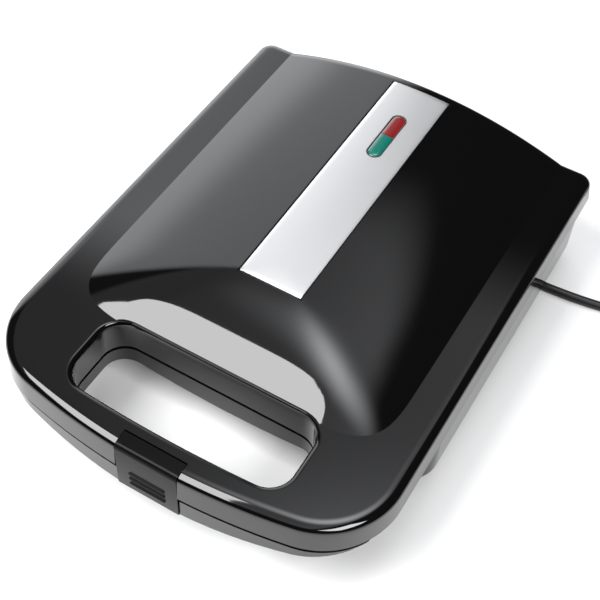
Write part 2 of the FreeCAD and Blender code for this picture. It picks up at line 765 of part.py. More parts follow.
# ---------------------------------------------------------------- lower housing
def hull(name, inset, top):
    """The base's outer form: a shallow handle part under the lid's plan, and a deep part behind."""
    side = HALF_WIDTH - size["base_inset"] - inset
    floor = BASE_LOW + inset
    deep = block(name + "Deep", (-side, side), (BASE_FRONT + inset, BASE_REAR - inset), (floor, top),
                 size["base_round"] - inset)
    if not number_of(inset):
        round_off(deep, size["base_edge_round"], lambda edge: lies_at(edge, floor))
    reach, drop = size["handle_reach"], size["handle_drop"]
    radius = (reach * reach + drop * drop) / (drop * 2)
    keel = rod(name + "Keel", "y", (0, FRONT - 5, HANDLE_LOW + radius), radius - inset, 190)
    plan = casing(name + "Plan", size["base_inset"] + inset, HANDLE_LOW, top)
    return joined(name, [deep, shared(name + "Shallow", plan, keel)])


def lower_housing():
    """The base shell: floor, handle part, catch, posts, cord bay and hinge barrels."""
    shell = without("HousingShell", hull("HousingOutside", Size("0", 0), SEAM),
                    [hull("HousingInside", WALL, SEAM + 1)])
    ring = shared("HousingHandleWall", opening_plug("HousingRing", WALL, BASE_LOW, SEAM),
                  hull("HousingRingLimit", Size("0", 0), SEAM))
    recess_wall = box("CatchWall", (-LATCH_HALF - WALL - GAP, LATCH_HALF + WALL + GAP),
                      (FRONT + size["base_inset"] + 1, FRONT + CATCH_DEPTH + WALL),
                      (HANDLE_LOW + 1.2, SEAM))
    parts = [shell, ring, recess_wall]
    tray_low = SEAM - tray_back()
    cuts = [opening_plug("HousingHandleHole", 0, BASE_LOW - 5, SEAM + 5),
            box("CatchRecess", (-LATCH_HALF - GAP, LATCH_HALF + GAP), (FRONT - 5, FRONT + CATCH_DEPTH),
                (HANDLE_LOW - 5, SEAM + 5))]
    for index, (x, y) in enumerate(at_corners(1, 1)):
        post_x, post_y = size["post_spacing_x"] / 2 * x, PLATE_Y + size["post_spacing_y"] / 2 * y
        parts.append(rod("HousingPost%d" % index, "z", (post_x, post_y, BASE_LOW + 1), 5,
                         tray_low - BASE_LOW - 1))
        cuts.append(rod("PostBore%d" % index, "z", (post_x, post_y, BASE_LOW - 5), 1.7, 40))
        cuts.append(rod("PostSink%d" % index, "z", (post_x, post_y, BASE_LOW - 5), 3.4, 5 + SCREW_SINK))
        foot_x, foot_y = FOOT_X * x, FOOT_MIDDLE + FOOT_Y * y
        cuts.append(rod("FootHole%d" % index, "z", (foot_x, foot_y, BASE_LOW - 5), 2.5, 15))
    parts += hinge_barrels("BaseBarrel", size["base_knuckle"],
                           [(size["lid_knuckle"] + size["base_knuckle"]) / 2 + GAP,
                            -(size["lid_knuckle"] + size["base_knuckle"]) / 2 - GAP], False)
    cuts += [rod("BaseBore%d" % index, "x", (size["hinge_spacing"] / 2 * side - 25, HINGE_Y, HINGE_Z),
                 size["hinge_pin"] / 2, 50) for index, side in enumerate((-1, 1))]
    bay_wall = box("CordBayWall", (BAY[0] - WALL, BAY[1] + WALL), (BAY[2] - WALL, BAY[3] + WALL),
                   (BASE_LOW + 1, UNDER_TRAY))
    parts.append(bay_wall)
    cuts.append(box("CordBay", (BAY[0], BAY[1]), (BAY[2], BAY[3]),
                    (BASE_LOW - 5, UNDER_TRAY - BAY_ROOF)))
    cuts.append(rod("GlandHole", "x", (BAY[0] - 14, GLAND_Y, GLAND_Z), GLAND_RADIUS, 16))
    whole = without("HousingCut", joined("HousingParts", parts), cuts)
    lip = box("CatchLip", (-12, 12), (FRONT + CATCH_DEPTH - 1.3, FRONT + CATCH_DEPTH + 1),
              (HANDLE_LOW + 8, HANDLE_LOW + 11))
    return subpart("lower_housing", joined("HousingFinished", [whole, lip]))


SCREW_SINK = 4.0
FOOT_X = 104.0
FOOT_MIDDLE = PLATE_Y - 0.5
FOOT_Y = 62.0
UNDER_TRAY = SEAM - tray_back() - size["tray_clearance"]
BAY_ROOF = 2.0
BAY = (Size("40", 40.0), Size("92", 92.0), REAR - 70, REAR - 40)
GLAND_Y = REAR - 54.6
GLAND_Z = UNDER_TRAY - BAY_ROOF - 4.7
GLAND_RADIUS = 4.0


# ---------------------------------------------------------------- feet, screws and hinge pins
def feet_and_fasteners():
    """Rubber feet, the long base screws, the liner screws, and the hinge pins."""
    feet = []
    for index, (x, y) in enumerate(at_corners(1, 1)):
        radius = size["foot_radius"]
        foot = turned("Foot%d" % index, [
            (0, 0), (radius - 1, 0), (radius, 1), (radius, size["foot_height"]),
            (2.5, size["foot_height"]), (2.5, size["foot_height"] + 2.2), (0, size["foot_height"] + 2.2)])
        feet.append(place(foot, FOOT_X * x, FOOT_MIDDLE + FOOT_Y * y, 0))
    subpart("rubber_feet", group("Feet", feet))

    base_screws = []
    liner_screws = []
    for index, (x, y) in enumerate(at_corners(1, 1)):
        post_x, post_y = size["post_spacing_x"] / 2 * x, PLATE_Y + size["post_spacing_y"] / 2 * y
        reach = SEAM - 12 - (BASE_LOW + SCREW_SINK)
        base_screws.append(screw("BaseScrew%d" % index, post_x, post_y, BASE_LOW + SCREW_SINK - 2, 2,
                                 3.2, 1.5, reach))
        liner_screws.append(screw("LinerScrew%d" % index, (HALF_WIDTH - size["liner_screw_inset"]) * x, PLATE_Y + size["liner_screw_reach"] * y,
                                  LID_LOW - 0.25, 1.2, 1.5, 1.4, 9))
    subpart("base_screws", group("BaseScrews", base_screws))
    subpart("upper_liner_screws", group("LinerScrews", liner_screws))
    half = size["lid_knuckle"] / 2 + GAP + size["base_knuckle"]
    pins = [rod("HingePin%d" % index, "x", (size["hinge_spacing"] / 2 * side - half, HINGE_Y, HINGE_Z),
                size["hinge_pin"] / 2, half * 2) for index, side in enumerate((-1, 1))]
    subpart("hinge_pins", group("HingePins", pins))


# ---------------------------------------------------------------- controls and wiring
THERMOSTAT_X = 84.0
THERMOSTAT_Y = 55.0


def controls():
    """The thermostats and the thermal fuse against the plates, and the terminal block."""
    drop = PLATE_BACK
    for name, upper, side in (("lower_thermostat", False, -1), ("upper_thermostat", True, 1)):
        disc = rod(name + "Disc", "z", (THERMOSTAT_X * side, THERMOSTAT_Y, drop - 3), 7, 3)
        case = rod(name + "Case", "z", (THERMOSTAT_X * side, THERMOSTAT_Y, drop - 11), 8, 8)
        blades = [box("%sBlade%d" % (name, index),
                      (THERMOSTAT_X * side - 3.2, THERMOSTAT_X * side + 3.2),
                      (THERMOSTAT_Y + offset, THERMOSTAT_Y + offset + 0.8), (drop - 16, drop - 10))
                  for index, offset in enumerate((-5.0, 4.2))]
        subpart(name, seat(joined(name, [disc, case] + blades), upper))
    fuse = rod("FuseBody", "y", (-THERMOSTAT_X, -THERMOSTAT_Y - 9, drop - 3.2), 3.2, 18)
    ends = rod("FuseEnds", "y", (-THERMOSTAT_X, -THERMOSTAT_Y - 14, drop - 3.2), 0.8, 28)
    subpart("thermal_fuse", seat(joined("Fuse", [fuse, ends]), False))
    floor = BASE_LOW + WALL
    block_body = box("TerminalBody", (Size("-8", -8.0), 26), (GLAND_Y - 12, GLAND_Y + 12),
                     (floor, UNDER_TRAY))
    slots = [rod("TerminalWay%d" % index, "x", (-9, GLAND_Y + offset, floor + 4), 1.6, 40)
             for index, offset in enumerate((-7.5, 0, 7.5))]
    subpart("terminal_block", without("Terminal", block_body, slots))


# ---------------------------------------------------------------- mains lead
CORD_RADIUS = number_of(size["cord_diameter"]) / 2
COIL_X = 204.0
COIL_Y = 162.0
COIL_OUTER = size["cord_diameter"] * 6
COIL_INNER = size["cord_diameter"] * 5
COIL_TOP = size["cord_diameter"] * (1 + math.sqrt(3) / 2)
ARRIVAL = math.radians(-75)
PLUG_REAR = (196.6, 216.4, 5.5)
PLUG_TILT = 22.4


def mains_lead():
    """Gland, lead, put-away coil, tail and plug; the lead's points are chosen by hand."""
    radius = CORD_RADIUS
    gland_x = number_of(BAY[0])
    gland = turned("GlandShape", [
        (radius, -7.4), (GLAND_RADIUS, -7.4), (GLAND_RADIUS, 0), (4.5, 0), (4.5, 2), (4.2, 3),
        (3.7, 22), (radius, 22)])
    place(gland, gland_x, GLAND_Y, GLAND_Z, Rotation(Vector(0, 1, 0), 90))
    subpart("cord_gland", gland)
    y = number_of(GLAND_Y)
    z = number_of(GLAND_Z)
    outer = number_of(COIL_OUTER)
    lead_route = [
        (gland_x - 13.7, y, z), (gland_x + 24, y, z), (gland_x + 45, y + 0.4, radius + 1.6),
        (gland_x + 74, y - 0.1, radius), (gland_x + 110, y + 2.4, radius),
        (gland_x + 140, y + 8.4, radius),
        (COIL_X + outer * math.cos(ARRIVAL), COIL_Y + outer * math.sin(ARRIVAL), radius)]
    subpart("mains_lead", tube("LeadTube", [Vector(*point) for point in lead_route], radius * 2))
    ring = doc.addObject("Part::Cylinder", "CoilOuter")
    bind(ring, Radius=COIL_OUTER + radius, Height=COIL_TOP)
    place(ring, COIL_X, COIL_Y, 0)
    hole = rod("CoilHole", "z", (COIL_X, COIL_Y, -1), COIL_INNER - radius, 30)
    subpart("mains_coil", without("Coil", ring, [hole]))
    top = number_of(COIL_TOP) - radius
    middle = (outer + number_of(COIL_INNER)) / 2
    tail_route = [
        (COIL_X + middle, COIL_Y, top), (COIL_X + middle, COIL_Y + 22, top + 1.4),
        (COIL_X + middle - 7.8, COIL_Y + 40.4, radius + 2.2),
        (COIL_X + middle - 24.2, COIL_Y + 51.9, radius), PLUG_REAR]
    subpart("mains_tail", tube("TailTube", [Vector(*point) for point in tail_route], radius * 2))
    plug()


def plug():
    """A round earthed plug of the usual moulded kind, lying on its rim and its tail, and its pins."""
    turn = Rotation(Vector(0, 0, 1), 180) * Rotation(Vector(0, 1, 0), 90 - PLUG_TILT)
    body = turned("PlugBody", [
        (0, -3), (4.6, -3), (5.4, 12), (8.5, 16), (15.0, 27), (18.6, 31), (18.6, 49), (17.6, 50.5),
        (0, 50.5)])
    pins = [rod("PlugPin%d" % index, "z", (0, offset, 50.5), 2.4, 19)
            for index, offset in enumerate((-9.5, 9.5))]
    for name, thing in (("mains_plug", body), ("plug_pins", group("PlugPins", pins))):
        subpart(name, place(thing, PLUG_REAR[0], PLUG_REAR[1], PLUG_REAR[2], turn))


upper_cover()
trim_and_lamps()
latch()
liners()
for plate_name, heat_name, face_down in (("upper_plate", "upper", True), ("lower_plate", "lower", False)):
    baking_plate(plate_name, face_down)
    heating(heat_name, face_down)
lower_housing()
feet_and_fasteners()
controls()
mains_lead()

doc.recompute()
for thing in doc.Objects:
    if "Invalid" in thing.State or "Error" in thing.State:
        raise ValueError("%s failed: %s" % (thing.Name, thing.State))
os.makedirs("parts", exist_ok=True)
for name, thing in subparts.items():
    shape = thing.Shape
    if shape.isNull() or not shape.isValid():
        raise ValueError("%s has no valid shape" % name)
    box_of = shape.BoundBox
    print("%-20s solids %d  volume %9.0f  x %.1f..%.1f  y %.1f..%.1f  z %.1f..%.1f"
          % (name, len(shape.Solids), shape.Volume, box_of.XMin, box_of.XMax, box_of.YMin,
             box_of.YMax, box_of.ZMin, box_of.ZMax))
    shape.exportStep("parts/%s.step" % name)
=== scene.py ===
"""Donut maker: the visible surfaces, finishes, mains lead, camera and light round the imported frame.

Everything is in metres and in the frame's own axes: +X right, +Y towards the hinge, +Z up.
"""
import math

import bmesh
import bpy
import numpy as np
from mathutils import Matrix, Vector
from mathutils.geometry import tessellate_polygon


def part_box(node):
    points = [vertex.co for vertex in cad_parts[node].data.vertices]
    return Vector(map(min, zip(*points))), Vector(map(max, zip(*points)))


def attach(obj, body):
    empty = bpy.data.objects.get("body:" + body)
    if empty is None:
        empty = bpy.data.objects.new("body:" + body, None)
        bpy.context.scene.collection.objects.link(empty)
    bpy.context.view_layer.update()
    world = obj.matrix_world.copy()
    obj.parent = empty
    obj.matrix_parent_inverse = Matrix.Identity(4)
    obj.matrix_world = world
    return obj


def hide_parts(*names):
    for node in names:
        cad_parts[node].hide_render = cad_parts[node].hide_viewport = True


bl_info = {
    "name": "Donut Maker",
    "version": (1, 0, 0),
    "blender": (4, 5, 0),
    "location": "3D View > Sidebar > Donut Maker",
    "description": "Builds the visible surfaces of a hinged donut maker round its packed frame",
    "category": "Add Mesh",
}

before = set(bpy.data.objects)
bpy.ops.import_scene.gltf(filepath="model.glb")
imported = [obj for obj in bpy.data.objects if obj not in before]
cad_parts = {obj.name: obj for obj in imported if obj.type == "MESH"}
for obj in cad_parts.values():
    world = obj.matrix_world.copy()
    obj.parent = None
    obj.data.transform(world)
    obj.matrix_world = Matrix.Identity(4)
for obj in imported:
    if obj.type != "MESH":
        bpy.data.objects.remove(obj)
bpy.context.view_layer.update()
MM = 0.001
WELD = 2e-6


# ---------------------------------------------------------------- sizes that a user would change
def length(label, words, default):
    """A length property in metres."""
    return bpy.props.FloatProperty(name=label, description=words, default=default, unit="LENGTH")


def number(label, words, default):
    """A plain number."""
    return bpy.props.FloatProperty(name=label, description=words, default=default)


def colour(label, words, default):
    """A colour property."""
    return bpy.props.FloatVectorProperty(name=label, description=words, default=default, size=3,
                                         subtype="COLOR", min=0.0, max=1.0)


COVER_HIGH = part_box("upper_cover")[1]
LATCH_LOW, LATCH_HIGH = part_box("latch_clip")


class CasingSizes(bpy.types.PropertyGroup):
    """The rounding and rises of the casing's outside."""
    half_width: length("Half width", "From the middle to the side wall", COVER_HIGH.x)
    front: length("Front", "Where the front wall is furthest forward", LATCH_LOW.y)
    rear: length("Rear", "Where the rear wall meets the seam", 0.1644)
    lid_low: length("Lid low", "Height of the lid's lower edge", 0.0456)
    deck: length("Deck", "Height of the lid's flat border", LATCH_HIGH.z)
    front_bow: length("Front bow", "Radius of the bowed front", 0.430)
    corner: length("Corner", "Radius of the front corners in plan", 0.050)
    rear_corner: length("Rear corner", "Radius of the rear corners in plan", 0.010)
    rear_lean: length("Rear lean", "How far the rear wall leans forward", 0.0065)
    edge_in: length("Edge inward", "Reach inward of the top edge's rounding", 0.0075)
    edge_down: length("Edge down", "Reach down of the top edge's rounding", 0.0040)
    groove_in: length("Groove inward", "Depth of the shadow groove over the seam", 0.0034)
    groove_up: length("Groove height", "Height of the shadow groove over the seam", 0.0043)
    ring_groove: length("Opening groove", "Depth and height of the opening's groove", 0.0014)
    draft: length("Draft", "How far the wall leans in below the rounding", 0.0009)
    crown_rise: length("Crown rise", "Height of the crowned top over the deck", 0.0175)
    crown_half: length("Crown half width", "From the middle to the crown's side crease", 0.1023)
    crown_start: length("Crown start", "Where the crown begins to slope down", -0.0310)
    crown_slope: length("Crown slope", "Length of the slope from crown to deck", 0.0740)
    scoop: number("Scoop", "Rise of the cut behind the opening, per unit of depth", 0.498)
    scoop_blend: length("Scoop blend", "How softly the cut meets the crown", 0.0007)
    notch_half: length("Notch half width", "From the middle to the latch recess's side", 0.0203)
    notch_rear: length("Notch rear", "Rear wall of the latch's recess", -0.1613)
    opening_front: length("Opening front", "The handle opening's front, at its middle", -0.1536)
    opening_rear: length("Opening rear", "Rear edge of the handle opening", -0.1016)
    opening_half: length("Opening half width", "From the middle to the opening's side", 0.0705)
    opening_bow: length("Opening bow", "Radius of the opening's front edge", 0.900)
    opening_round: length("Opening corner", "Radius of the opening's corners", 0.015)
    trim_half: length("Trim half width", "Half the width of the steel strip", 0.0205)
    trim_front: length("Trim front", "Front end of the steel strip", -0.0456)
    lens_middle: length("Lens middle", "Where the two lenses meet", 0.0984)
    lens_long: length("Lens length", "Length of both lenses together", 0.0420)
    lens_wide: length("Lens width", "Width of the lenses", 0.0086)


class Finishes(bpy.types.PropertyGroup):
    """The colours of the product's finishes."""
    gloss_black: colour("Gloss black", "Glossy casing plastic", (0.0012, 0.0012, 0.0013))
    satin_black: colour("Satin black", "Liners and lamp holder", (0.012, 0.012, 0.013))
    latch_black: colour("Latch black", "Satin latch plastic", (0.003, 0.003, 0.0032))
    trim: colour("Trim", "Brushed stainless strip", (0.55, 0.55, 0.55))
    red: colour("Red lens", "Power indicator lens", (0.125, 0.008, 0.008))
    green: colour("Green lens", "Ready indicator lens", (0.001, 0.092, 0.070))
    coating: colour("Non-stick", "Baking plate coating", (0.030, 0.030, 0.033))
    rubber: colour("Rubber", "Lead, plug and feet", (0.006, 0.006, 0.0065))


def sizes():
    """The casing sizes set in the scene."""
    return bpy.context.scene.donut_casing


def tones():
    """The finishes set in the scene."""
    return bpy.context.scene.donut_finishes


# ---------------------------------------------------------------- surfaces
def grid_faces(rows, columns, closed=False):
    """Quads between the rows and columns of a grid; closed joins the last column to the first."""
    row = np.arange(rows - 1)
    column = np.arange(columns if closed else columns - 1)
    i, j = np.meshgrid(row, column, indexing="ij")
    k = (j + 1) % columns
    low, high = i * columns, (i + 1) * columns
    return np.stack([low + j, low + k, high + k, high + j], -1).reshape(-1, 4)


class Skin:
    """Patches of surface that are joined into one mesh."""

    def __init__(self):
        self.points = []
        self.faces = []
        self.count = 0

    def add(self, points, faces):
        """Adds points with faces that count from their own first point."""
        self.points.append(np.asarray(points, float).reshape(-1, 3))
        self.faces += [tuple(int(index) + self.count for index in face) for face in faces]
        self.count += len(self.points[-1])

    def surface(self, points, closed=False):
        """Adds a grid of points, rows by columns by 3."""
        rows, columns = points.shape[:2]
        self.add(points, grid_faces(rows, columns, closed))

    def flat(self, loops):
        """Adds a flat face with an outer loop and any number of holes, in triangles."""
        lists = [[Vector(point) for point in loop] for loop in loops]
        triangles = tessellate_polygon(lists)
        self.add(np.concatenate([np.asarray(loop, float) for loop in loops]), triangles)

    def build(self, name, outward, sharp):
        """Makes the object: doubles merged, degenerate faces gone, creases sharp, and normals
        outward, told by the face that lies furthest along the outward direction."""
        mesh = bpy.data.meshes.new(name)
        mesh.from_pydata(np.concatenate(self.points).tolist(), [], self.faces)
        mesh.update()
        work = bmesh.new()
        work.from_mesh(mesh)
        bmesh.ops.remove_doubles(work, verts=work.verts, dist=WELD)
        bmesh.ops.dissolve_degenerate(work, edges=work.edges, dist=WELD / 20)
        bmesh.ops.recalc_face_normals(work, faces=work.faces)
        outward = Vector(outward)
        probe = max(work.faces, key=lambda face: face.calc_center_median().dot(outward))
        if probe.normal.dot(outward) < 0:
            bmesh.ops.reverse_faces(work, faces=work.faces)
        work.to_mesh(mesh)
        work.free()
        mesh.polygons.foreach_set("use_smooth", np.ones(len(mesh.polygons), bool))
        mesh.set_sharp_from_angle(angle=math.radians(sharp))
        mesh.update()
        thing = bpy.data.objects.new(name, mesh)
        bpy.context.scene.collection.objects.link(thing)
        return thing


def finish_piece(thing, body, slot, material, *replaced):
    """Gives a piece its finish, its body and the CAD nodes that it stands for. The slot is not used.
    """
    thing.data.materials.clear()
    thing.data.materials.append(material)
    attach(thing, body)
    if replaced:
        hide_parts(*replaced)
    return thing


def arc(centre_x, centre_y, radius, start, end, count):
    """Points on an arc between two angles in degrees, as x, y rows."""
    angle = np.radians(np.linspace(start, end, count))
    return np.stack([centre_x + radius * np.cos(angle), centre_y + radius * np.sin(angle)], -1)


def past_corner(x):
    """How far x lies beyond the straight part of the handle opening's rear edge."""
    s = sizes()
    return np.clip(np.abs(x) - s.opening_half + s.opening_round, 0, None)


def crown_height(x, y):
    """The crown over the deck: its rise, less its rise times a rounded-square distance from the
    level top.

    A slope that rises steadily away from the handle opening's rear edge cuts it. The two meet in
    a soft minimum: the lower of them, less a parabola of their difference where they are nearly
    equal.
    """
    s = sizes()
    across = np.abs(x) / s.crown_half
    along = np.clip((s.crown_start - y) / s.crown_slope, 0, None)
    crown = s.crown_rise * (1 - np.cbrt(across ** 6 + along ** 6))
    away = np.hypot(past_corner(x), y - s.opening_rear + s.opening_round) - s.opening_round
    cut = s.scoop * away
    near = np.clip(1 - np.abs(crown - cut) / s.scoop_blend, 0, None)
    return np.minimum(crown, cut) - near ** 2 * s.scoop_blend / 4


LEAST_CORNER = 0.004


def bowed_plan(inset, lean, rear_x):
    """The casing's outline, drawn in by an inset, from the latch's notch round the rear and back.

    The front is an arc of the bow radius. Each corner is an arc tangent to both its neighbours.
    Gives the outline, and how many of its points come before the rear wall's own columns.
    """
    s = sizes()
    half, rear = s.half_width - inset, s.rear - lean - inset
    bow, corner = s.front_bow - inset, s.corner - inset
    rear_corner = max(s.rear_corner - inset, LEAST_CORNER)
    bow_y = s.front + s.front_bow
    corner_x = half - corner
    corner_y = bow_y - math.sqrt((bow - corner) ** 2 - corner_x ** 2)
    meet = math.degrees(math.asin(corner_x / (bow - corner)))
    start = math.degrees(math.asin(s.notch_half / bow))
    front_arc = arc(0, bow_y, bow, start - 90, meet - 90, 25)
    corner_arc = arc(corner_x, corner_y, corner, meet - 90, 0, 29)
    side = np.stack([np.full(9, half), np.linspace(corner_y, rear - rear_corner, 9)], -1)
    rear_arc = arc(half - rear_corner, rear - rear_corner, rear_corner, 0, 90, 11)
    right = np.concatenate([front_arc, corner_arc[1:], side[1:], rear_arc[1:]])
    back = np.stack([rear_x, np.full(len(rear_x), rear)], -1)
    return np.concatenate([right, back, right[::-1] * [-1, 1]]), len(right)


def opening_plan(grow):
    """The handle opening's outline, anticlockwise: a bowed front, straight sides and rear, and
    round corners. It is grown by one amount at the front and sides and another at the rear."""
    s = sizes()
    around, behind = grow
    half = s.opening_half + around
    radius = s.opening_round + around
    bow = s.opening_bow
    front, rear = s.opening_front - around, s.opening_rear + behind
    across = np.linspace(-(half - radius), half - radius, 33)
    edge = front + bow - np.sqrt(bow ** 2 - across ** 2)
    corner_y = edge[-1] + radius
    rear_round = s.opening_round + behind
    front_run = np.stack([across, edge], -1)
    front_corner = arc(half - radius, corner_y, radius, -90, 0, 13)
    turn = np.linspace(0, math.pi / 2, 13)
    rear_corner = np.stack([half - radius + radius * np.cos(turn),
                            rear - rear_round + rear_round * np.sin(turn)], -1)
    rear_run = np.stack([across[::-1], np.full(33, rear)], -1)
    right = np.concatenate([front_corner[1:], rear_corner])
    left = right[::-1] * [-1, 1]
    return np.concatenate([front_run, right, rear_run[1:], left[:-1]])


def levels(plan, height):
    """A row of points at a height, or at a height for each point."""
    return np.column_stack([plan, np.broadcast_to(height, len(plan))])


# ---------------------------------------------------------------- finishes
def shader_group(name, inputs, outputs):
    """A new node group with named sockets; gives the group, its inputs and its outputs."""
    group = bpy.data.node_groups.new(name, "ShaderNodeTree")
    for label, kind, value in inputs:
        socket = group.interface.new_socket(name=label, in_out="INPUT", socket_type=kind)
        if value is not None:
            socket.default_value = value
    for label, kind in outputs:
        group.interface.new_socket(name=label, in_out="OUTPUT", socket_type=kind)
    entry = group.nodes.new("NodeGroupInput")
    leaving = group.nodes.new("NodeGroupOutput")
    return group, entry, leaving


def joined_maths(nodes, links, operation, first, second):
    """A Math node fed by two sockets or numbers; gives its output."""
    node = nodes.new("ShaderNodeMath")
    node.operation = operation
    for index, value in enumerate((first, second)):
        if isinstance(value, (int, float)):
            node.inputs[index].default_value = value
        else:
            links.new(value, node.inputs[index])
    return node.outputs[0]


def stretched_noise(group, entry, stretch, detail):
    """Noise on Object coordinates, stretched along an axis, with the group's Scale input."""
    nodes, links = group.nodes, group.links
    coordinates = nodes.new("ShaderNodeTexCoord")
    mapping = nodes.new("ShaderNodeMapping")
    mapping.inputs["Scale"].default_value = stretch
    noise = nodes.new("ShaderNodeTexNoise")
    noise.inputs["Detail"].default_value = detail
    links.new(coordinates.outputs["Object"], mapping.inputs["Vector"])
    links.new(mapping.outputs["Vector"], noise.inputs["Vector"])
    links.new(entry.outputs["Scale"], noise.inputs["Scale"])
    return noise.outputs["Fac"]


def drifting_roughness(group, entry, leaving, noise):
    """Links a group's roughness: its Roughness input, moved by the noise times its Spread."""
    nodes, links = group.nodes, group.links
    centred = joined_maths(nodes, links, "SUBTRACT", noise, 0.5)
    spread = joined_maths(nodes, links, "MULTIPLY", centred, entry.outputs["Spread"])
    rough = joined_maths(nodes, links, "ADD", spread, entry.outputs["Roughness"])
    links.new(rough, leaving.inputs["Roughness"])


def make_groups():
    """The shared effects: fine grain, cloudy handling marks and brushed lines."""
    grain, entry, leaving = shader_group(
        "Fine Grain", [("Scale", "NodeSocketFloat", 900.0)], [("Height", "NodeSocketFloat")])
    noise = stretched_noise(grain, entry, (1, 1, 1), 3.0)
    grain.links.new(noise, leaving.inputs["Height"])

    marks, entry, leaving = shader_group(
        "Handling Marks",
        [("Scale", "NodeSocketFloat", 28.0), ("Roughness", "NodeSocketFloat", 0.08),
         ("Spread", "NodeSocketFloat", 0.03), ("Colour", "NodeSocketColor", (0.01, 0.01, 0.01, 1)),
         ("Faded", "NodeSocketColor", (0.02, 0.02, 0.02, 1))],
        [("Roughness", "NodeSocketFloat"), ("Colour", "NodeSocketColor")])
    noise = stretched_noise(marks, entry, (1, 1, 1.5), 5.0)
    drifting_roughness(marks, entry, leaving, noise)
    blend = marks.nodes.new("ShaderNodeMix")
    blend.data_type = "RGBA"
    first, second, mixed = blend.inputs[6], blend.inputs[7], blend.outputs[2]
    for source, target in ((noise, blend.inputs["Factor"]), (entry.outputs["Colour"], first),
                           (entry.outputs["Faded"], second), (mixed, leaving.inputs["Colour"])):
        marks.links.new(source, target)

    brushed, entry, leaving = shader_group(
        "Brushed Lines",
        [("Scale", "NodeSocketFloat", 1.0), ("Roughness", "NodeSocketFloat", 0.3),
         ("Spread", "NodeSocketFloat", 0.1)],
        [("Roughness", "NodeSocketFloat"), ("Height", "NodeSocketFloat")])
    noise = stretched_noise(brushed, entry, (2600, 22, 2600), 4.0)
    drifting_roughness(brushed, entry, leaving, noise)
    brushed.links.new(noise, leaving.inputs["Height"])


def add_group(tree, name, **values):
    """Places a shared effect in a material with its own values."""
    node = tree.nodes.new("ShaderNodeGroup")
    node.node_tree = bpy.data.node_groups[name]
    for label, value in values.items():
        node.inputs[label].default_value = value
    return node


BUMP_DEPTH = 0.0001


def made(name):
    """The finish made for a slot."""
    return bpy.data.materials["fine_" + name]


def finish(name, tone, faded, roughness, spread=0.04, metallic=0.0, marks=28.0, grain=900.0,
           bump=0.02, coat=0.0, brushed=False, transmission=0.0, ior=1.5):
    """A finish: colour that drifts a little, roughness from marks or brushed lines, fine bump."""
    material = bpy.data.materials.new("fine_" + name)
    material.use_nodes = True
    tree = material.node_tree
    shader = tree.nodes["Principled BSDF"]
    for label, value in (("Metallic", metallic), ("IOR", ior), ("Coat Weight", coat),
                         ("Coat Roughness", 0.03), ("Transmission Weight", transmission)):
        shader.inputs[label].default_value = value
    marked = add_group(tree, "Handling Marks", Scale=marks, Roughness=roughness, Spread=spread,
                       Colour=(*tone, 1.0), Faded=(*faded, 1.0))
    tree.links.new(marked.outputs["Colour"], shader.inputs["Base Color"])
    if brushed:
        relief = add_group(tree, "Brushed Lines", Scale=1.0, Roughness=roughness, Spread=spread)
    else:
        relief = add_group(tree, "Fine Grain", Scale=grain)
    rough = relief if brushed else marked
    tree.links.new(rough.outputs["Roughness"], shader.inputs["Roughness"])
    bumps = tree.nodes.new("ShaderNodeBump")
    bumps.inputs["Strength"].default_value = bump
    bumps.inputs["Distance"].default_value = BUMP_DEPTH
    tree.links.new(relief.outputs["Height"], bumps.inputs["Height"])
    tree.links.new(bumps.outputs["Normal"], shader.inputs["Normal"])
    return material


def soften():
    """A geometry group that joins a node's loose triangles and smooths all but its real edges."""
    group = bpy.data.node_groups.new("Soften Facets", "GeometryNodeTree")
    group.interface.new_socket(name="Geometry", in_out="INPUT", socket_type="NodeSocketGeometry")
    group.interface.new_socket(name="Geometry", in_out="OUTPUT", socket_type="NodeSocketGeometry")
    nodes, links = group.nodes, group.links
    entry, leaving = nodes.new("NodeGroupInput"), nodes.new("NodeGroupOutput")
    merge = nodes.new("GeometryNodeMergeByDistance")
    merge.inputs["Distance"].default_value = WELD
    faces = nodes.new("GeometryNodeSetShadeSmooth")
    faces.domain = "FACE"
    edges = nodes.new("GeometryNodeSetShadeSmooth")
    edges.domain = "EDGE"
    edges.inputs["Shade Smooth"].default_value = False
    angle = nodes.new("GeometryNodeInputMeshEdgeAngle")
    steep = nodes.new("FunctionNodeCompare")
    steep.data_type = "FLOAT"
    steep.operation = "GREATER_THAN"
    steep.inputs[1].default_value = math.radians(20)
    links.new(angle.outputs["Unsigned Angle"], steep.inputs[0])
    links.new(entry.outputs[0], merge.inputs["Geometry"])
    links.new(merge.outputs["Geometry"], faces.inputs["Geometry"])
    links.new(faces.outputs["Geometry"], edges.inputs["Geometry"])
    links.new(steep.outputs[0], edges.inputs["Selection"])
    links.new(edges.outputs["Geometry"], leaving.inputs[0])
    return group


# ---------------------------------------------------------------- the mains lead
CORD_DIAMETER = 0.0063
LEAD_START = (0.0263, 0.1098, 0.0148)
LEAD = (LEAD_START, (0.0640, 0.1098, 0.0148), (0.0850, 0.1102, 0.00475), (0.1140, 0.1097, 0.00315),
        (0.1500, 0.1122, 0.00315), (0.1800, 0.1182, 0.00315))
COIL_MIDDLE = (0.204, 0.162)
PLUG_REAR = (0.1966, 0.2164, 0.0055)
PLUG_TILT = 22.4
TAIL = ((0.23865, 0.1840, 0.0104), (0.23085, 0.2024, 0.00535), (0.21445, 0.2139, 0.00315),
        PLUG_REAR)


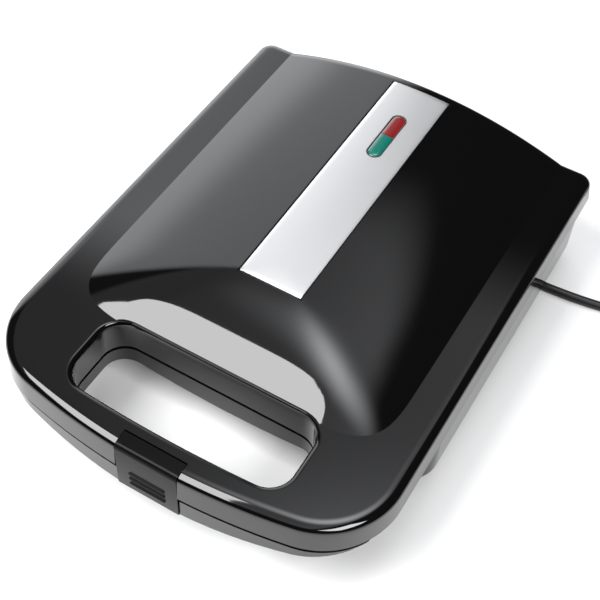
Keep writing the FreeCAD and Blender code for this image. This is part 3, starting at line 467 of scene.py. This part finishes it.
def coil_points():
    """Two turns that wind inward on the floor, then one and a fifth that wind out over them.

    Sixteen points to the turn; each lies a little outside its arc, because the spline cuts inside.
    """
    start, end, count = -75.0, 1080.0, 52
    degrees = np.linspace(start, end, count)
    turns = (degrees - start) / 360.0
    floor_radius = 0.0378 - CORD_DIAMETER * turns
    over = np.clip(turns - 2.0, 0, None)
    climb = np.clip(over / 0.2, 0, 1)
    climb = climb * climb * (3 - 2 * climb)
    top_radius = 0.0270 + 0.0064 * over
    inmost, floor_height, top_height = 0.0252, CORD_DIAMETER / 2, 0.0092
    radius = np.where(turns <= 2.0, floor_radius, inmost + (top_radius - inmost) * climb)
    height = floor_height + (top_height - floor_height) * climb
    step = math.radians((end - start) / (count - 1))
    reach = radius / math.cos(step / 2)
    angle = np.radians(degrees)
    return np.column_stack([COIL_MIDDLE[0] + reach * np.cos(angle),
                            COIL_MIDDLE[1] + reach * np.sin(angle), height])


def turned_surface(profile, steps, matrix):
    """A profile of radius and height turned about its own axis, then set in place by a matrix."""
    profile = np.asarray(profile, float)
    angle = np.linspace(0, 2 * math.pi, steps, endpoint=False)
    points = np.stack([profile[:, :1] * np.cos(angle), profile[:, :1] * np.sin(angle),
                       np.broadcast_to(profile[:, 1:], (len(profile), steps))], -1)
    flat = np.column_stack([points.reshape(-1, 3), np.ones(points.shape[0] * steps)])
    return (flat @ np.asarray(matrix).T)[:, :3].reshape(points.shape)


def smooth_profile(corners, count=6):
    """A profile whose corners are rounded by quadratic arcs between the middles of its runs."""
    corners = np.asarray(corners, float)
    middles = (corners[:-1] + corners[1:]) / 2
    t = np.linspace(0, 1, count, endpoint=False)[:, None]
    arcs = [(1 - t) ** 2 * middles[i] + 2 * t * (1 - t) * corners[i + 1] + t ** 2 * middles[i + 1]
            for i in range(len(middles) - 1)]
    return np.concatenate([corners[:1]] + arcs + [middles[-1:], corners[-1:]])


class DONUT_OT_camera(bpy.types.Operator):
    """Sets up the camera"""
    bl_idname = "donut.camera"
    bl_label = "Camera"

    def execute(self, context):
        azimuth, elevation, roll = (math.radians(angle) for angle in (27.44, 51.63, -3.81))
        forward = Vector((-math.sin(azimuth) * math.cos(elevation),
                          math.cos(azimuth) * math.cos(elevation), -math.sin(elevation)))
        level = Vector((math.cos(azimuth), math.sin(azimuth), 0))
        down = forward.cross(level)
        right = math.cos(roll) * level + math.sin(roll) * down
        below = -math.sin(roll) * level + math.cos(roll) * down
        lens = bpy.data.cameras.new("View")
        lens.lens = 70.66
        lens.sensor_width = 36.0
        camera = bpy.data.objects.new("View", lens)
        turn = Matrix((right, -below, -forward)).transposed().to_4x4()
        camera.matrix_world = Matrix.Translation((0.2126, -0.4163, 0.613)) @ turn
        context.scene.collection.objects.link(camera)
        context.scene.camera = camera
        return {"FINISHED"}


class DONUT_OT_lead(bpy.types.Operator):
    """Makes the mains lead with its coil, its strain relief, and its plug"""
    bl_idname = "donut.lead"
    bl_label = "Mains lead"

    def execute(self, context):
        points = np.concatenate([LEAD, coil_points(), TAIL])
        curve = bpy.data.curves.new("mains_cord", "CURVE")
        curve.dimensions = "3D"
        curve.bevel_depth = CORD_DIAMETER / 2
        curve.bevel_resolution = 6
        curve.resolution_u = 8
        curve.use_fill_caps = True
        spline = curve.splines.new("NURBS")
        spline.points.add(len(points) - 1)
        spline.points.foreach_set("co", np.column_stack([points, np.ones(len(points))]).ravel())
        spline.order_u = 3
        spline.use_endpoint_u = True
        cord = bpy.data.objects.new("mains_cord", curve)
        context.scene.collection.objects.link(cord)
        rubber = made("lead_rubber")
        curve.materials.append(rubber)
        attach(cord, "base")
        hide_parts("mains_lead", "mains_coil", "mains_tail")

        # strain relief: a collar in the base's wall and a ribbed sleeve that tapers to the lead
        across = Matrix.Translation((0.040, LEAD_START[1], LEAD_START[2])) @ Matrix.Rotation(
            math.radians(90), 4, "Y")
        sleeve_start, rib_pitch, rib_depth = 0.003, 0.0031, 0.00035
        along = np.linspace(sleeve_start, 0.0215, 75)
        ribs = 0.5 + 0.5 * np.cos((along - sleeve_start) * 2 * math.pi / rib_pitch)
        taper = 0.0044 - (along - sleeve_start) * 0.038
        sleeve = np.column_stack([taper - rib_depth * (1 - ribs), along])
        profile = np.concatenate([
            [(0, -0.0074), (0.0040, -0.0074), (0.0040, -0.0001), (0.0045, 0), (0.0046, 0.0006),
             (0.0046, 0.0018), (0.0044, 0.0024)], sleeve, [(0.0034, 0.0220), (0.0030, 0.0221)]])
        skin = Skin()
        skin.surface(turned_surface(profile, 40, across), closed=True)
        relief = skin.build("strain_relief", (1, 0, 0), 35)
        finish_piece(relief, "base", "lead_rubber", rubber, "cord_gland")

        # plug: a turned grip that widens to its round face, tilted up off the floor
        turn = Matrix.Translation(PLUG_REAR) @ Matrix.Rotation(math.pi, 4, "Z") @ Matrix.Rotation(
            math.radians(90 - PLUG_TILT), 4, "Y")
        grip = smooth_profile([
            (0, -3), (3.4, -3), (4.6, -2.6), (4.9, 2), (5.2, 8), (6.2, 13), (9.5, 17), (13, 22),
            (15.6, 27.5), (18.0, 30.0), (18.6, 33), (18.6, 40), (18.6, 47.5), (18.1, 50.1),
            (16, 50.5), (8, 50.5), (0, 50.5)]) * MM
        skin = Skin()
        skin.surface(turned_surface(grip, 72, turn), closed=True)
        body = skin.build("plug_body", (-1, 0, 0.4), 40)
        finish_piece(body, "base", "lead_rubber", rubber, "mains_plug")
        return {"FINISHED"}


# ---------------------------------------------------------------- the lid's skin
SHEET = 0.0022
STRIP_GAP, STRIP_DEPTH = 0.0010, 0.0011
RIM_AROUND, RIM_BEHIND, RIM_DOWN = 0.0032, 0.0008, 0.0034
RIM_MARGIN = (0.0036, 0.0009)
EDGE_MARGIN = 0.0004


def cover_columns():
    """Columns across the crown: even over the strip, then closer and closer to the side crease."""
    s = sizes()
    edge = s.trim_half + STRIP_GAP
    outer = s.crown_half * np.sin(np.linspace(math.asin(edge / s.crown_half), math.pi / 2, 36))
    middle = np.linspace(-edge, edge, 13)
    return np.concatenate([-outer[::-1], middle[1:-1], outer])


def cover_rows():
    """The wall's profile from the seam up: a shadow groove, a leaning wall, an elliptical
    rounding, and a last narrow row on the top.

    Each row is inset, rise inside the groove, share of the height from the groove to the
    rounding, share of the rounding's height, and share of the rear wall's lean.
    """
    s = sizes()
    deep, up, top = s.groove_in, s.groove_up, s.groove_up + 0.0005
    foot = [(deep, 0, 0, 0, 0), (deep, up, 0, 0, 0), (0.0003, up + 0.0001, 0, 0, 0),
            (0, top, 0, 0, 0)]
    wall = [(s.draft * t, top, t, 0, t) for t in (0.2, 0.4, 0.6, 0.8, 1.0)]
    angle = np.radians(np.linspace(0, 90, 15))[1:]
    rounding = [(s.draft + s.edge_in * (1 - math.cos(a)), top, 1, math.sin(a), 1) for a in angle]
    return foot + wall + rounding + [(s.draft + s.edge_in + EDGE_MARGIN, top, 1, 1, 1)]


def wall_sweep(columns):
    """The wall's rows of points, and how many come before the rear wall's own columns."""
    s = sizes()
    crown = crown_height(columns, np.full(len(columns), s.rear))
    sweep = []
    for inset, rise, low_share, round_share, lean_share in cover_rows():
        plan, corner_count = bowed_plan(inset, s.rear_lean * lean_share, columns[::-1])
        top = np.full(len(plan), s.deck)
        top[corner_count:corner_count + len(columns)] += crown[::-1]
        low = s.lid_low + rise
        straight = top - s.edge_down - low
        sweep.append(levels(plan, low + low_share * straight + round_share * s.edge_down))
    return np.array(sweep), corner_count


def latch_recess(skin, sweep):
    """Adds the latch's recess: two side walls and a rear wall, up to the wall's top row."""
    s = sizes()
    front_y = sweep[:-1, 0, 1]
    height = sweep[:-1, 0, 2]
    rear_y = np.full(len(height), s.notch_rear)
    inner_y = front_y + (sweep[-1, 0, 1] - sweep[-2, 0, 1])
    for side in (1, -1):
        x = np.full(len(height), s.notch_half * side)
        skin.surface(np.stack([np.stack([x, y, height], -1)
                               for y in (front_y, inner_y, rear_y)], 1))
    skin.surface(np.stack([np.stack([np.full(len(height), s.notch_half * side), rear_y, height], -1)
                           for side in (1, -1)], 1))


def crowned_top(skin, columns, rear_y):
    """Adds the crowned top, with the channel that the strip lies in; gives its outline on the deck.

    The front slope starts where the crown meets the deck, or at the opening's rim if that is
    further back. It meets the level part on a curve that bends back towards the sides.
    """
    s = sizes()
    share = np.clip(1 - (np.abs(columns) / s.crown_half) ** 6, 0, 1)
    around = s.opening_round + RIM_MARGIN[0] + 0.0001
    corner = np.sqrt(np.clip(1 - (past_corner(columns) / around) ** 2, 0, None))
    behind = s.opening_round + RIM_MARGIN[1] + 0.0001
    lip_y = s.opening_rear - s.opening_round + behind * corner
    foot_y = np.maximum(s.crown_start - s.crown_slope * share ** (1 / 6), lip_y)
    past_strip = (np.abs(columns) - s.trim_half - STRIP_GAP) / (s.crown_half - s.trim_half)
    meet_y = s.trim_front - STRIP_GAP + 0.027 * np.clip(past_strip, 0, 1) ** 2

    def patch(start_y, end_y, steps):
        y = start_y + (end_y - start_y) * steps[:, None]
        x = np.broadcast_to(columns, y.shape)
        return np.stack([x, y, s.deck + crown_height(x, y)], -1)

    slope = patch(foot_y, meet_y, np.linspace(0, 1, 41) ** 1.3)
    slope[0, :, 2] = s.deck
    slope[..., 2] = np.maximum(slope[..., 2], s.deck)
    level = patch(meet_y, rear_y, np.linspace(0, 1, 47))
    level[:, [0, -1], 2] = s.deck
    skin.surface(slope)

    edge = s.trim_half + STRIP_GAP
    left, right = (int(np.argmin(np.abs(columns - x))) for x in (-edge, edge))
    sunk = level[:, left:right + 1] - [0, 0, STRIP_DEPTH]
    for part in (level[:, :left + 1], level[:, right:], sunk):
        skin.surface(part)
    skin.surface(np.stack([level[:, left], sunk[:, 0]], 1))
    skin.surface(np.stack([level[:, right], sunk[:, -1]], 1))
    skin.surface(np.stack([level[0, left:right + 1], sunk[0]], 0))
    skin.surface(np.stack([level[-1, left:right + 1], sunk[-1]], 0))
    return np.concatenate([level[::-1, -1], slope[::-1, -1][1:], slope[0, ::-1][1:],
                           slope[1:, 0], level[1:, 0]])


def opening_wall(skin):
    """Adds the handle opening: a quarter-round rim, upright walls and a groove over the seam.
    Gives the rim's outer loop."""
    s = sizes()
    groove, groove_top = s.ring_groove, s.lid_low + s.ring_groove
    rows = [(*RIM_MARGIN, s.deck)]
    for a in np.radians(np.linspace(90, 0, 11)):
        out = 1 - math.cos(a)
        rows.append((RIM_AROUND * out, RIM_BEHIND * out, s.deck - RIM_DOWN * (1 - math.sin(a))))
    rows += [(0, 0, z) for z in np.linspace(s.deck - RIM_DOWN, groove_top + 0.0005, 6)[1:]]
    rows += [(0.0003, 0.0003, groove_top + 0.0001), (groove, groove, groove_top),
             (groove, groove, s.lid_low)]
    rim = np.array([levels(opening_plan((around, behind)), z) for around, behind, z in rows])
    skin.surface(rim, closed=True)
    return rim[0]


def closed_block(skin, top, low):
    """Adds a block between an upper and a lower grid of the same shape, with its four sides."""
    skin.surface(top)
    skin.surface(low)
    for edge in ((slice(None), 0), (slice(None), -1)):
        skin.surface(np.stack([top[edge], low[edge]], 1))
    for edge in (0, -1):
        skin.surface(np.stack([top[edge], low[edge]], 0))


class DONUT_OT_cover(bpy.types.Operator):
    """Makes the lid's glossy skin: walls, deck, crowned top, handle opening and latch recess"""
    bl_idname = "donut.cover"
    bl_label = "Lid cover"

    def execute(self, context):
        s = sizes()
        skin = Skin()
        columns = cover_columns()
        sweep, corner_count = wall_sweep(columns)
        margin = sweep[-1]
        skin.surface(sweep)
        latch_recess(skin, sweep)
        crown_foot = crowned_top(skin, columns, margin[corner_count, 1])
        rim = opening_wall(skin)
        deck = np.concatenate([
            margin[:corner_count], crown_foot, margin[corner_count + len(columns):],
            [(-s.notch_half, s.notch_rear, s.deck), (s.notch_half, s.notch_rear, s.deck)]])
        skin.flat([deck, rim[::-1]])
        cover = skin.build("cover_shell", (0, 0, 1), 14)
        wall = cover.modifiers.new("Wall", "SOLIDIFY")
        wall.thickness = SHEET
        wall.offset = -1
        finish_piece(cover, "lid", "gloss_black", made("gloss_black"), "upper_cover")
        self.knuckles()
        return {"FINISHED"}

    def knuckles(self):
        """The lid's half of each hinge barrel, and the web that joins it to the rear wall."""
        skin = Skin()
        middle_x, middle_y, middle_z = 0.070, 0.1694, 0.0453
        half, radius, broken = 0.0099, 0.0042, 0.0007
        profile = [(0, -half), (radius - broken, -half), (radius, -half + broken),
                   (radius, half - broken), (radius - broken, half), (0, half)]
        web = np.array([(0.1634, 0.0560), (0.1640, 0.0530), (0.1685, 0.0497), (0.1694, 0.0495)])
        for side in (-1, 1):
            x = middle_x * side
            turn = Matrix.Translation((x, middle_y, middle_z)) @ Matrix.Rotation(
                math.radians(90), 4, "Y")
            skin.surface(turned_surface(profile, 40, turn), closed=True)
            top = np.stack([np.column_stack([np.full(len(web), x + end), web])
                            for end in (-half, half)], 1)
            low = top.copy()
            low[:, :, 2] = 0.0459
            closed_block(skin, top, low)
        barrels = skin.build("lid_knuckles", (0, 0, 1), 30)
        finish_piece(barrels, "lid", "gloss_black", made("gloss_black"))


class DONUT_OT_trim(bpy.types.Operator):
    """Makes the brushed strip on the crown, and the two lenses in their dark bezel"""
    bl_idname = "donut.trim"
    bl_label = "Strip and lenses"

    def execute(self, context):
        self.strip()
        self.lenses()
        self.bezel()
        return {"FINISHED"}

    def strip(self):
        """The sheet that lies in the crown's channel and follows its bend."""
        s = sizes()
        rear = s.rear - s.rear_lean - s.draft - s.edge_in - 2 * EDGE_MARGIN
        x, y = np.meshgrid(np.linspace(-s.trim_half, s.trim_half, 15),
                           np.linspace(s.trim_front, rear, 61))
        skin = Skin()
        skin.surface(np.stack([x, y, s.deck + crown_height(x, y)], -1))
        strip = skin.build("trim_strip", (0, 0, 1), 40)
        sheet = strip.modifiers.new("Sheet", "SOLIDIFY")
        sheet.thickness = 0.0010
        sheet.offset = -1
        edge = strip.modifiers.new("Edge", "BEVEL")
        edge.width = 0.0002
        edge.segments = 2
        edge.angle_limit = math.radians(50)
        finish_piece(strip, "lid", "brushed_trim", made("brushed_trim"), "trim_plate")

    def lenses(self):
        """Two half pills that meet end to end. Each face falls away with the fifth power of the
        distance from its middle line, and a little with the square of its distance along."""
        s = sizes()
        top = s.deck + s.crown_rise
        radius = s.lens_wide / 2
        straight = s.lens_long / 2 - radius
        along = np.concatenate([np.linspace(0.0002, straight, 12),
                                straight + radius * np.sin(np.linspace(0, math.pi / 2, 15))[1:]])
        past = np.clip(along - straight, 0, None)[:, None]
        across = np.sin(np.linspace(-math.pi / 2, math.pi / 2, 25))
        x = np.sqrt(np.clip(radius ** 2 - past ** 2, 0, None)) * across
        reach = np.sqrt(x ** 2 + past ** 2) / radius
        fall = 0.0007 * reach ** 5 + 0.0002 * (along[:, None] / s.lens_long * 2) ** 2
        for name, slot, node, side in (("ready_light", "green_lens", "ready_lens", -1),
                                       ("power_light", "red_lens", "power_lens", 1)):
            y = np.broadcast_to(s.lens_middle + side * along[:, None], x.shape)
            face = np.stack([x, y, top + 0.0008 - fall], -1)
            low = face.copy()
            low[..., 2] = top - 0.003
            skin = Skin()
            closed_block(skin, face, low)
            lens = skin.build(name, (0, 0, 1), 40)
            finish_piece(lens, "lid", slot, made(slot), node)

    def bezel(self):
        """A small half-round bead carried round the lenses' pill outline."""
        s = sizes()
        top = s.deck + s.crown_rise
        radius = s.lens_wide / 2
        straight = s.lens_long / 2 - radius
        front = arc(0, 0, 1, 180, 360, 25)
        outline = np.concatenate([front, -front])
        centre = s.lens_middle + np.repeat([-straight, straight], 25)
        rows = []
        for angle in np.radians(np.linspace(0, 180, 9)):
            ring = outline * (radius + 0.0005 + 0.0005 * math.cos(angle))
            ring[:, 1] += centre
            rows.append(levels(ring, top + 0.0001 + 0.0003 * math.sin(angle)))
        rows = [rows[0] - [0, 0, 0.001]] + rows + [rows[-1] - [0, 0, 0.001]]
        skin = Skin()
        skin.surface(np.array(rows), closed=True)
        bezel = skin.build("lens_bezel", (0, 0, 1), 50)
        finish_piece(bezel, "lid", "satin_black", made("satin_black"))


class DONUT_OT_latch(bpy.types.Operator):
    """Makes the latch: a satin hook whose face carries three finger ribs"""
    bl_idname = "donut.latch"
    bl_label = "Latch"

    def execute(self, context):
        s = sizes()
        low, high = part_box("latch_clip")
        face_y = s.front + 0.0009
        inner_y = s.front + 0.0032
        toe = 0.0016
        angle = np.radians(np.linspace(90, 0, 15))
        rounding = np.stack([face_y + 0.0032 * (1 - np.cos(angle)),
                             s.deck - 0.0040 * (1 - np.sin(angle))], -1)
        bottom = arc(face_y + toe, low.z + toe, toe, 180, 350, 11)
        inside = np.array([(inner_y + 0.0002, low.z + 0.0045), (inner_y, 0.0480),
                           (inner_y + 0.0001, 0.0560), (inner_y + 0.0008, 0.0630),
                           (inner_y + 0.0018, 0.0656), (-0.1660, 0.0662)])
        rear = np.array([(high.y - 0.0007, 0.0662), (high.y, 0.0669), (high.y, s.deck - 0.0007),
                         (high.y - 0.0007, s.deck)])
        outline = np.concatenate([rounding, bottom, inside, rear])
        sides = [np.column_stack([np.full(len(outline), x), outline]) for x in (-high.x, high.x)]
        skin = Skin()
        skin.surface(np.stack(sides, 0), closed=True)
        skin.flat([sides[0]])
        skin.flat([sides[1]])

        # finger ribs: round bars with rounded ends, half sunk in the face
        rib_half, rib_radius = 0.0120, 0.0011
        across = np.linspace(-rib_half, rib_half, 33)
        past = np.clip((np.abs(across) - rib_half + rib_radius) / rib_radius, 0, 1)
        ring = rib_radius * np.sqrt(1 - past ** 2)[:, None]
        turn = np.radians(np.arange(24) * 15)
        for level in (0.0380, 0.0430, 0.0480):
            skin.surface(np.stack([np.broadcast_to(across[:, None], (33, 24)),
                                   face_y + ring * np.cos(turn) * 0.8,
                                   level + ring * np.sin(turn)], -1), closed=True)
        latch = skin.build("latch_hook", (0, -1, 0), 22)
        edge = latch.modifiers.new("Edge", "BEVEL")
        edge.width = 0.0007
        edge.segments = 3
        edge.limit_method = "ANGLE"
        edge.angle_limit = math.radians(60)
        finish_piece(latch, "latch", "latch_black", made("latch_black"), "latch_clip")
        return {"FINISHED"}


class DONUT_OT_finishes(bpy.types.Operator):
    """Makes the finishes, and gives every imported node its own"""
    bl_idname = "donut.finishes"
    bl_label = "Finishes"

    def execute(self, context):
        c = tones()
        make_groups()
        finish("gloss_black", c.gloss_black, c.gloss_black, 0.055, 0.02, grain=260, bump=0.015)
        finish("satin_black", c.satin_black, c.satin_black, 0.42, 0.08, grain=1800, bump=0.10)
        finish("latch_black", c.latch_black, c.latch_black, 0.22, 0.06, grain=2200, bump=0.08,
               ior=1.16)
        finish("brushed_trim", c.trim, c.trim, 0.40, 0.14, metallic=1.0, brushed=True, bump=0.06)
        finish("green_lens", c.green, [v * 1.25 for v in c.green], 0.14, 0.03, coat=0.35)
        finish("red_lens", c.red, [v * 1.25 for v in c.red], 0.14, 0.03, coat=0.35)
        finish("lamp_glass", (0.9, 0.6, 0.4), (0.8, 0.5, 0.35), 0.08, 0.02, transmission=0.8)
        finish("non_stick", c.coating, [v * 1.5 for v in c.coating], 0.34, 0.10, grain=3000,
               bump=0.16)
        finish("element_steel", (0.30, 0.28, 0.26), (0.42, 0.38, 0.33), 0.40, 0.14, metallic=1.0)
        finish("tray_steel", (0.55, 0.55, 0.55), (0.66, 0.66, 0.66), 0.34, 0.12, metallic=1.0,
               brushed=True)
        finish("ceramic", (0.72, 0.70, 0.65), (0.80, 0.78, 0.73), 0.60, 0.08, bump=0.1)
        finish("terminal_nylon", (0.80, 0.79, 0.75), (0.86, 0.85, 0.81), 0.45, 0.08, bump=0.05)
        finish("foot_rubber", c.rubber, [v * 2 for v in c.rubber], 0.70, 0.10, grain=2500,
               bump=0.2)
        finish("screw_steel", (0.50, 0.50, 0.51), (0.60, 0.60, 0.60), 0.34, 0.10, metallic=1.0)
        finish("lead_rubber", c.rubber, [v * 1.3 for v in c.rubber], 0.30, 0.08, grain=1600,
               bump=0.06, ior=1.38)
        finish("pin_brass", (0.76, 0.74, 0.68), (0.82, 0.80, 0.75), 0.22, 0.08, metallic=1.0)
        group = soften()
        for name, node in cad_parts.items():
            node.data.materials.clear()
            node.data.materials.append(made(NODE_FINISH[name]))
            facets = node.modifiers.new("Soften", "NODES")
            facets.node_group = group
            weighted = node.modifiers.new("Even", "WEIGHTED_NORMAL")
            weighted.keep_sharp = True
        return {"FINISHED"}


NODE_FINISH = {
    "upper_cover": "gloss_black", "lower_housing": "gloss_black", "trim_plate": "brushed_trim",
    "ready_lens": "green_lens", "power_lens": "red_lens", "indicator_lamps": "lamp_glass",
    "lamp_holder": "satin_black", "latch_clip": "latch_black", "latch_pin": "screw_steel",
    "upper_liner": "satin_black", "lower_liner": "satin_black", "upper_plate": "non_stick",
    "lower_plate": "non_stick", "upper_heater": "element_steel", "lower_heater": "element_steel",
    "upper_heat_tray": "tray_steel", "lower_heat_tray": "tray_steel", "rubber_feet": "foot_rubber",
    "base_screws": "screw_steel", "upper_liner_screws": "screw_steel", "hinge_pins": "screw_steel",
    "lower_thermostat": "ceramic", "upper_thermostat": "ceramic", "thermal_fuse": "ceramic",
    "terminal_block": "terminal_nylon", "cord_gland": "lead_rubber", "mains_lead": "lead_rubber",
    "mains_coil": "lead_rubber", "mains_tail": "lead_rubber", "mains_plug": "lead_rubber",
    "plug_pins": "pin_brass",
}


class DONUT_OT_stage(bpy.types.Operator):
    """Makes the pale floor, two soft lamps that face down, and the room that the gloss reflects"""
    bl_idname = "donut.stage"
    bl_label = "Stage"

    def execute(self, context):
        half = 1.6
        mesh = bpy.data.meshes.new("floor")
        corners = [(-half, -half, 0), (half, -half, 0), (half, half, 0), (-half, half, 0)]
        mesh.from_pydata(corners, [], [(0, 1, 2, 3)])
        floor = bpy.data.objects.new("floor", mesh)
        context.scene.collection.objects.link(floor)
        mesh.materials.append(finish("floor_paint", (0.69, 0.69, 0.69), (0.71, 0.71, 0.71), 0.6,
                                     0.05, marks=3.0, grain=400, bump=0.02))
        for name, place, width, depth, watts in (
                ("overhead", (-0.705, -0.86, 1.50), 0.99, 1.28, 54.0),
                ("fill", (1.00, -0.70, 1.30), 0.7, 0.9, 34.0)):
            lamp = bpy.data.lights.new(name, "AREA")
            lamp.shape = "RECTANGLE"
            lamp.size, lamp.size_y, lamp.energy = width, depth, watts
            thing = bpy.data.objects.new(name, lamp)
            thing.location = place
            context.scene.collection.objects.link(thing)
        context.scene.world = self.studio()
        context.scene.view_settings.view_transform = "Standard"
        return {"FINISHED"}

    def studio(self):
        """A dim room that is pale where it is seen directly.

        Three things light it: a tall panel at the rear left, brighter towards the floor; a small
        soft lamp nearly overhead; and a faint ceiling behind that, brighter towards the right.
        """
        world = bpy.data.worlds.new("Studio")
        world.use_nodes = True
        nodes, links = world.node_tree.nodes, world.node_tree.links
        direction = nodes.new("ShaderNodeTexCoord").outputs["Generated"]

        def along(axis, low, high, top, kind="SMOOTHSTEP", base=0.0):
            """How far a direction lies along an axis, mapped from low..high to base..top."""
            dot = nodes.new("ShaderNodeVectorMath")
            dot.operation = "DOT_PRODUCT"
            dot.inputs[1].default_value = axis
            ramp = nodes.new("ShaderNodeMapRange")
            ramp.interpolation_type = kind
            for label, value in (("From Min", low), ("From Max", high), ("To Min", base),
                                 ("To Max", top)):
                ramp.inputs[label].default_value = value
            links.new(direction, dot.inputs[0])
            links.new(dot.outputs["Value"], ramp.inputs["Value"])
            return ramp.outputs[0]

        def times(first, second):
            return joined_maths(nodes, links, "MULTIPLY", first, second)

        def plus(first, second):
            return joined_maths(nodes, links, "ADD", first, second)

        panel = times(times(along((-0.25, 1.0, -0.20), 0.405, 0.49, 1.0),
                            along((-1.0, 0.0, 0.0), 0.24, 0.42, 1.0)),
                      along((0.0, 0.0, -1.0), -0.52, -0.36, 3.2, base=2.0))
        lamp = along((-0.03, 0.23, 0.97), 0.925, 0.998, 1.0, "LINEAR")
        lamp = times(times(lamp, times(lamp, lamp)), 7.0)
        ceiling = times(times(along((-0.1, 0.0, 1.0), 0.745, 0.80, 1.0),
                              along((1.0, 0.0, 0.0), -0.45, 0.14, 1.15, "LINEAR", base=0.36)),
                        along((-1.0, 0.0, 0.0), -0.30, -0.17, 1.0))
        total = plus(plus(panel, lamp), plus(ceiling, 0.05))
        seen = nodes.new("ShaderNodeMix")
        seen.data_type = "FLOAT"
        factor, lit, direct = (seen.inputs[index] for index in (0, 2, 3))
        direct.default_value = 0.9
        links.new(nodes.new("ShaderNodeLightPath").outputs["Is Camera Ray"], factor)
        links.new(total, lit)
        links.new(seen.outputs[0], nodes["Background"].inputs["Strength"])
        nodes["Background"].inputs["Color"].default_value = (0.96, 0.97, 1.0, 1)
        return world


OPERATORS = (DONUT_OT_camera, DONUT_OT_finishes, DONUT_OT_lead, DONUT_OT_stage, DONUT_OT_cover,
             DONUT_OT_trim, DONUT_OT_latch)


class DONUT_PT_panel(bpy.types.Panel):
    """Lists the steps that build the product"""
    bl_idname = "DONUT_PT_panel"
    bl_label = "Donut Maker"
    bl_space_type = "VIEW_3D"
    bl_region_type = "UI"
    bl_category = "Donut Maker"

    def draw(self, context):
        for operator in OPERATORS:
            self.layout.operator(operator.bl_idname)


CLASSES = (CasingSizes, Finishes, *OPERATORS, DONUT_PT_panel)


def register():
    for item in CLASSES:
        bpy.utils.register_class(item)
    bpy.types.Scene.donut_casing = bpy.props.PointerProperty(type=CasingSizes)
    bpy.types.Scene.donut_finishes = bpy.props.PointerProperty(type=Finishes)


def unregister():
    del bpy.types.Scene.donut_finishes
    del bpy.types.Scene.donut_casing
    for item in reversed(CLASSES):
        bpy.utils.unregister_class(item)


def main():
    """Builds the whole scene."""
    register()
    for operator in OPERATORS:
        group, name = operator.bl_idname.split(".")
        getattr(getattr(bpy.ops, group), name)()


if __name__ == "__main__":
    main()
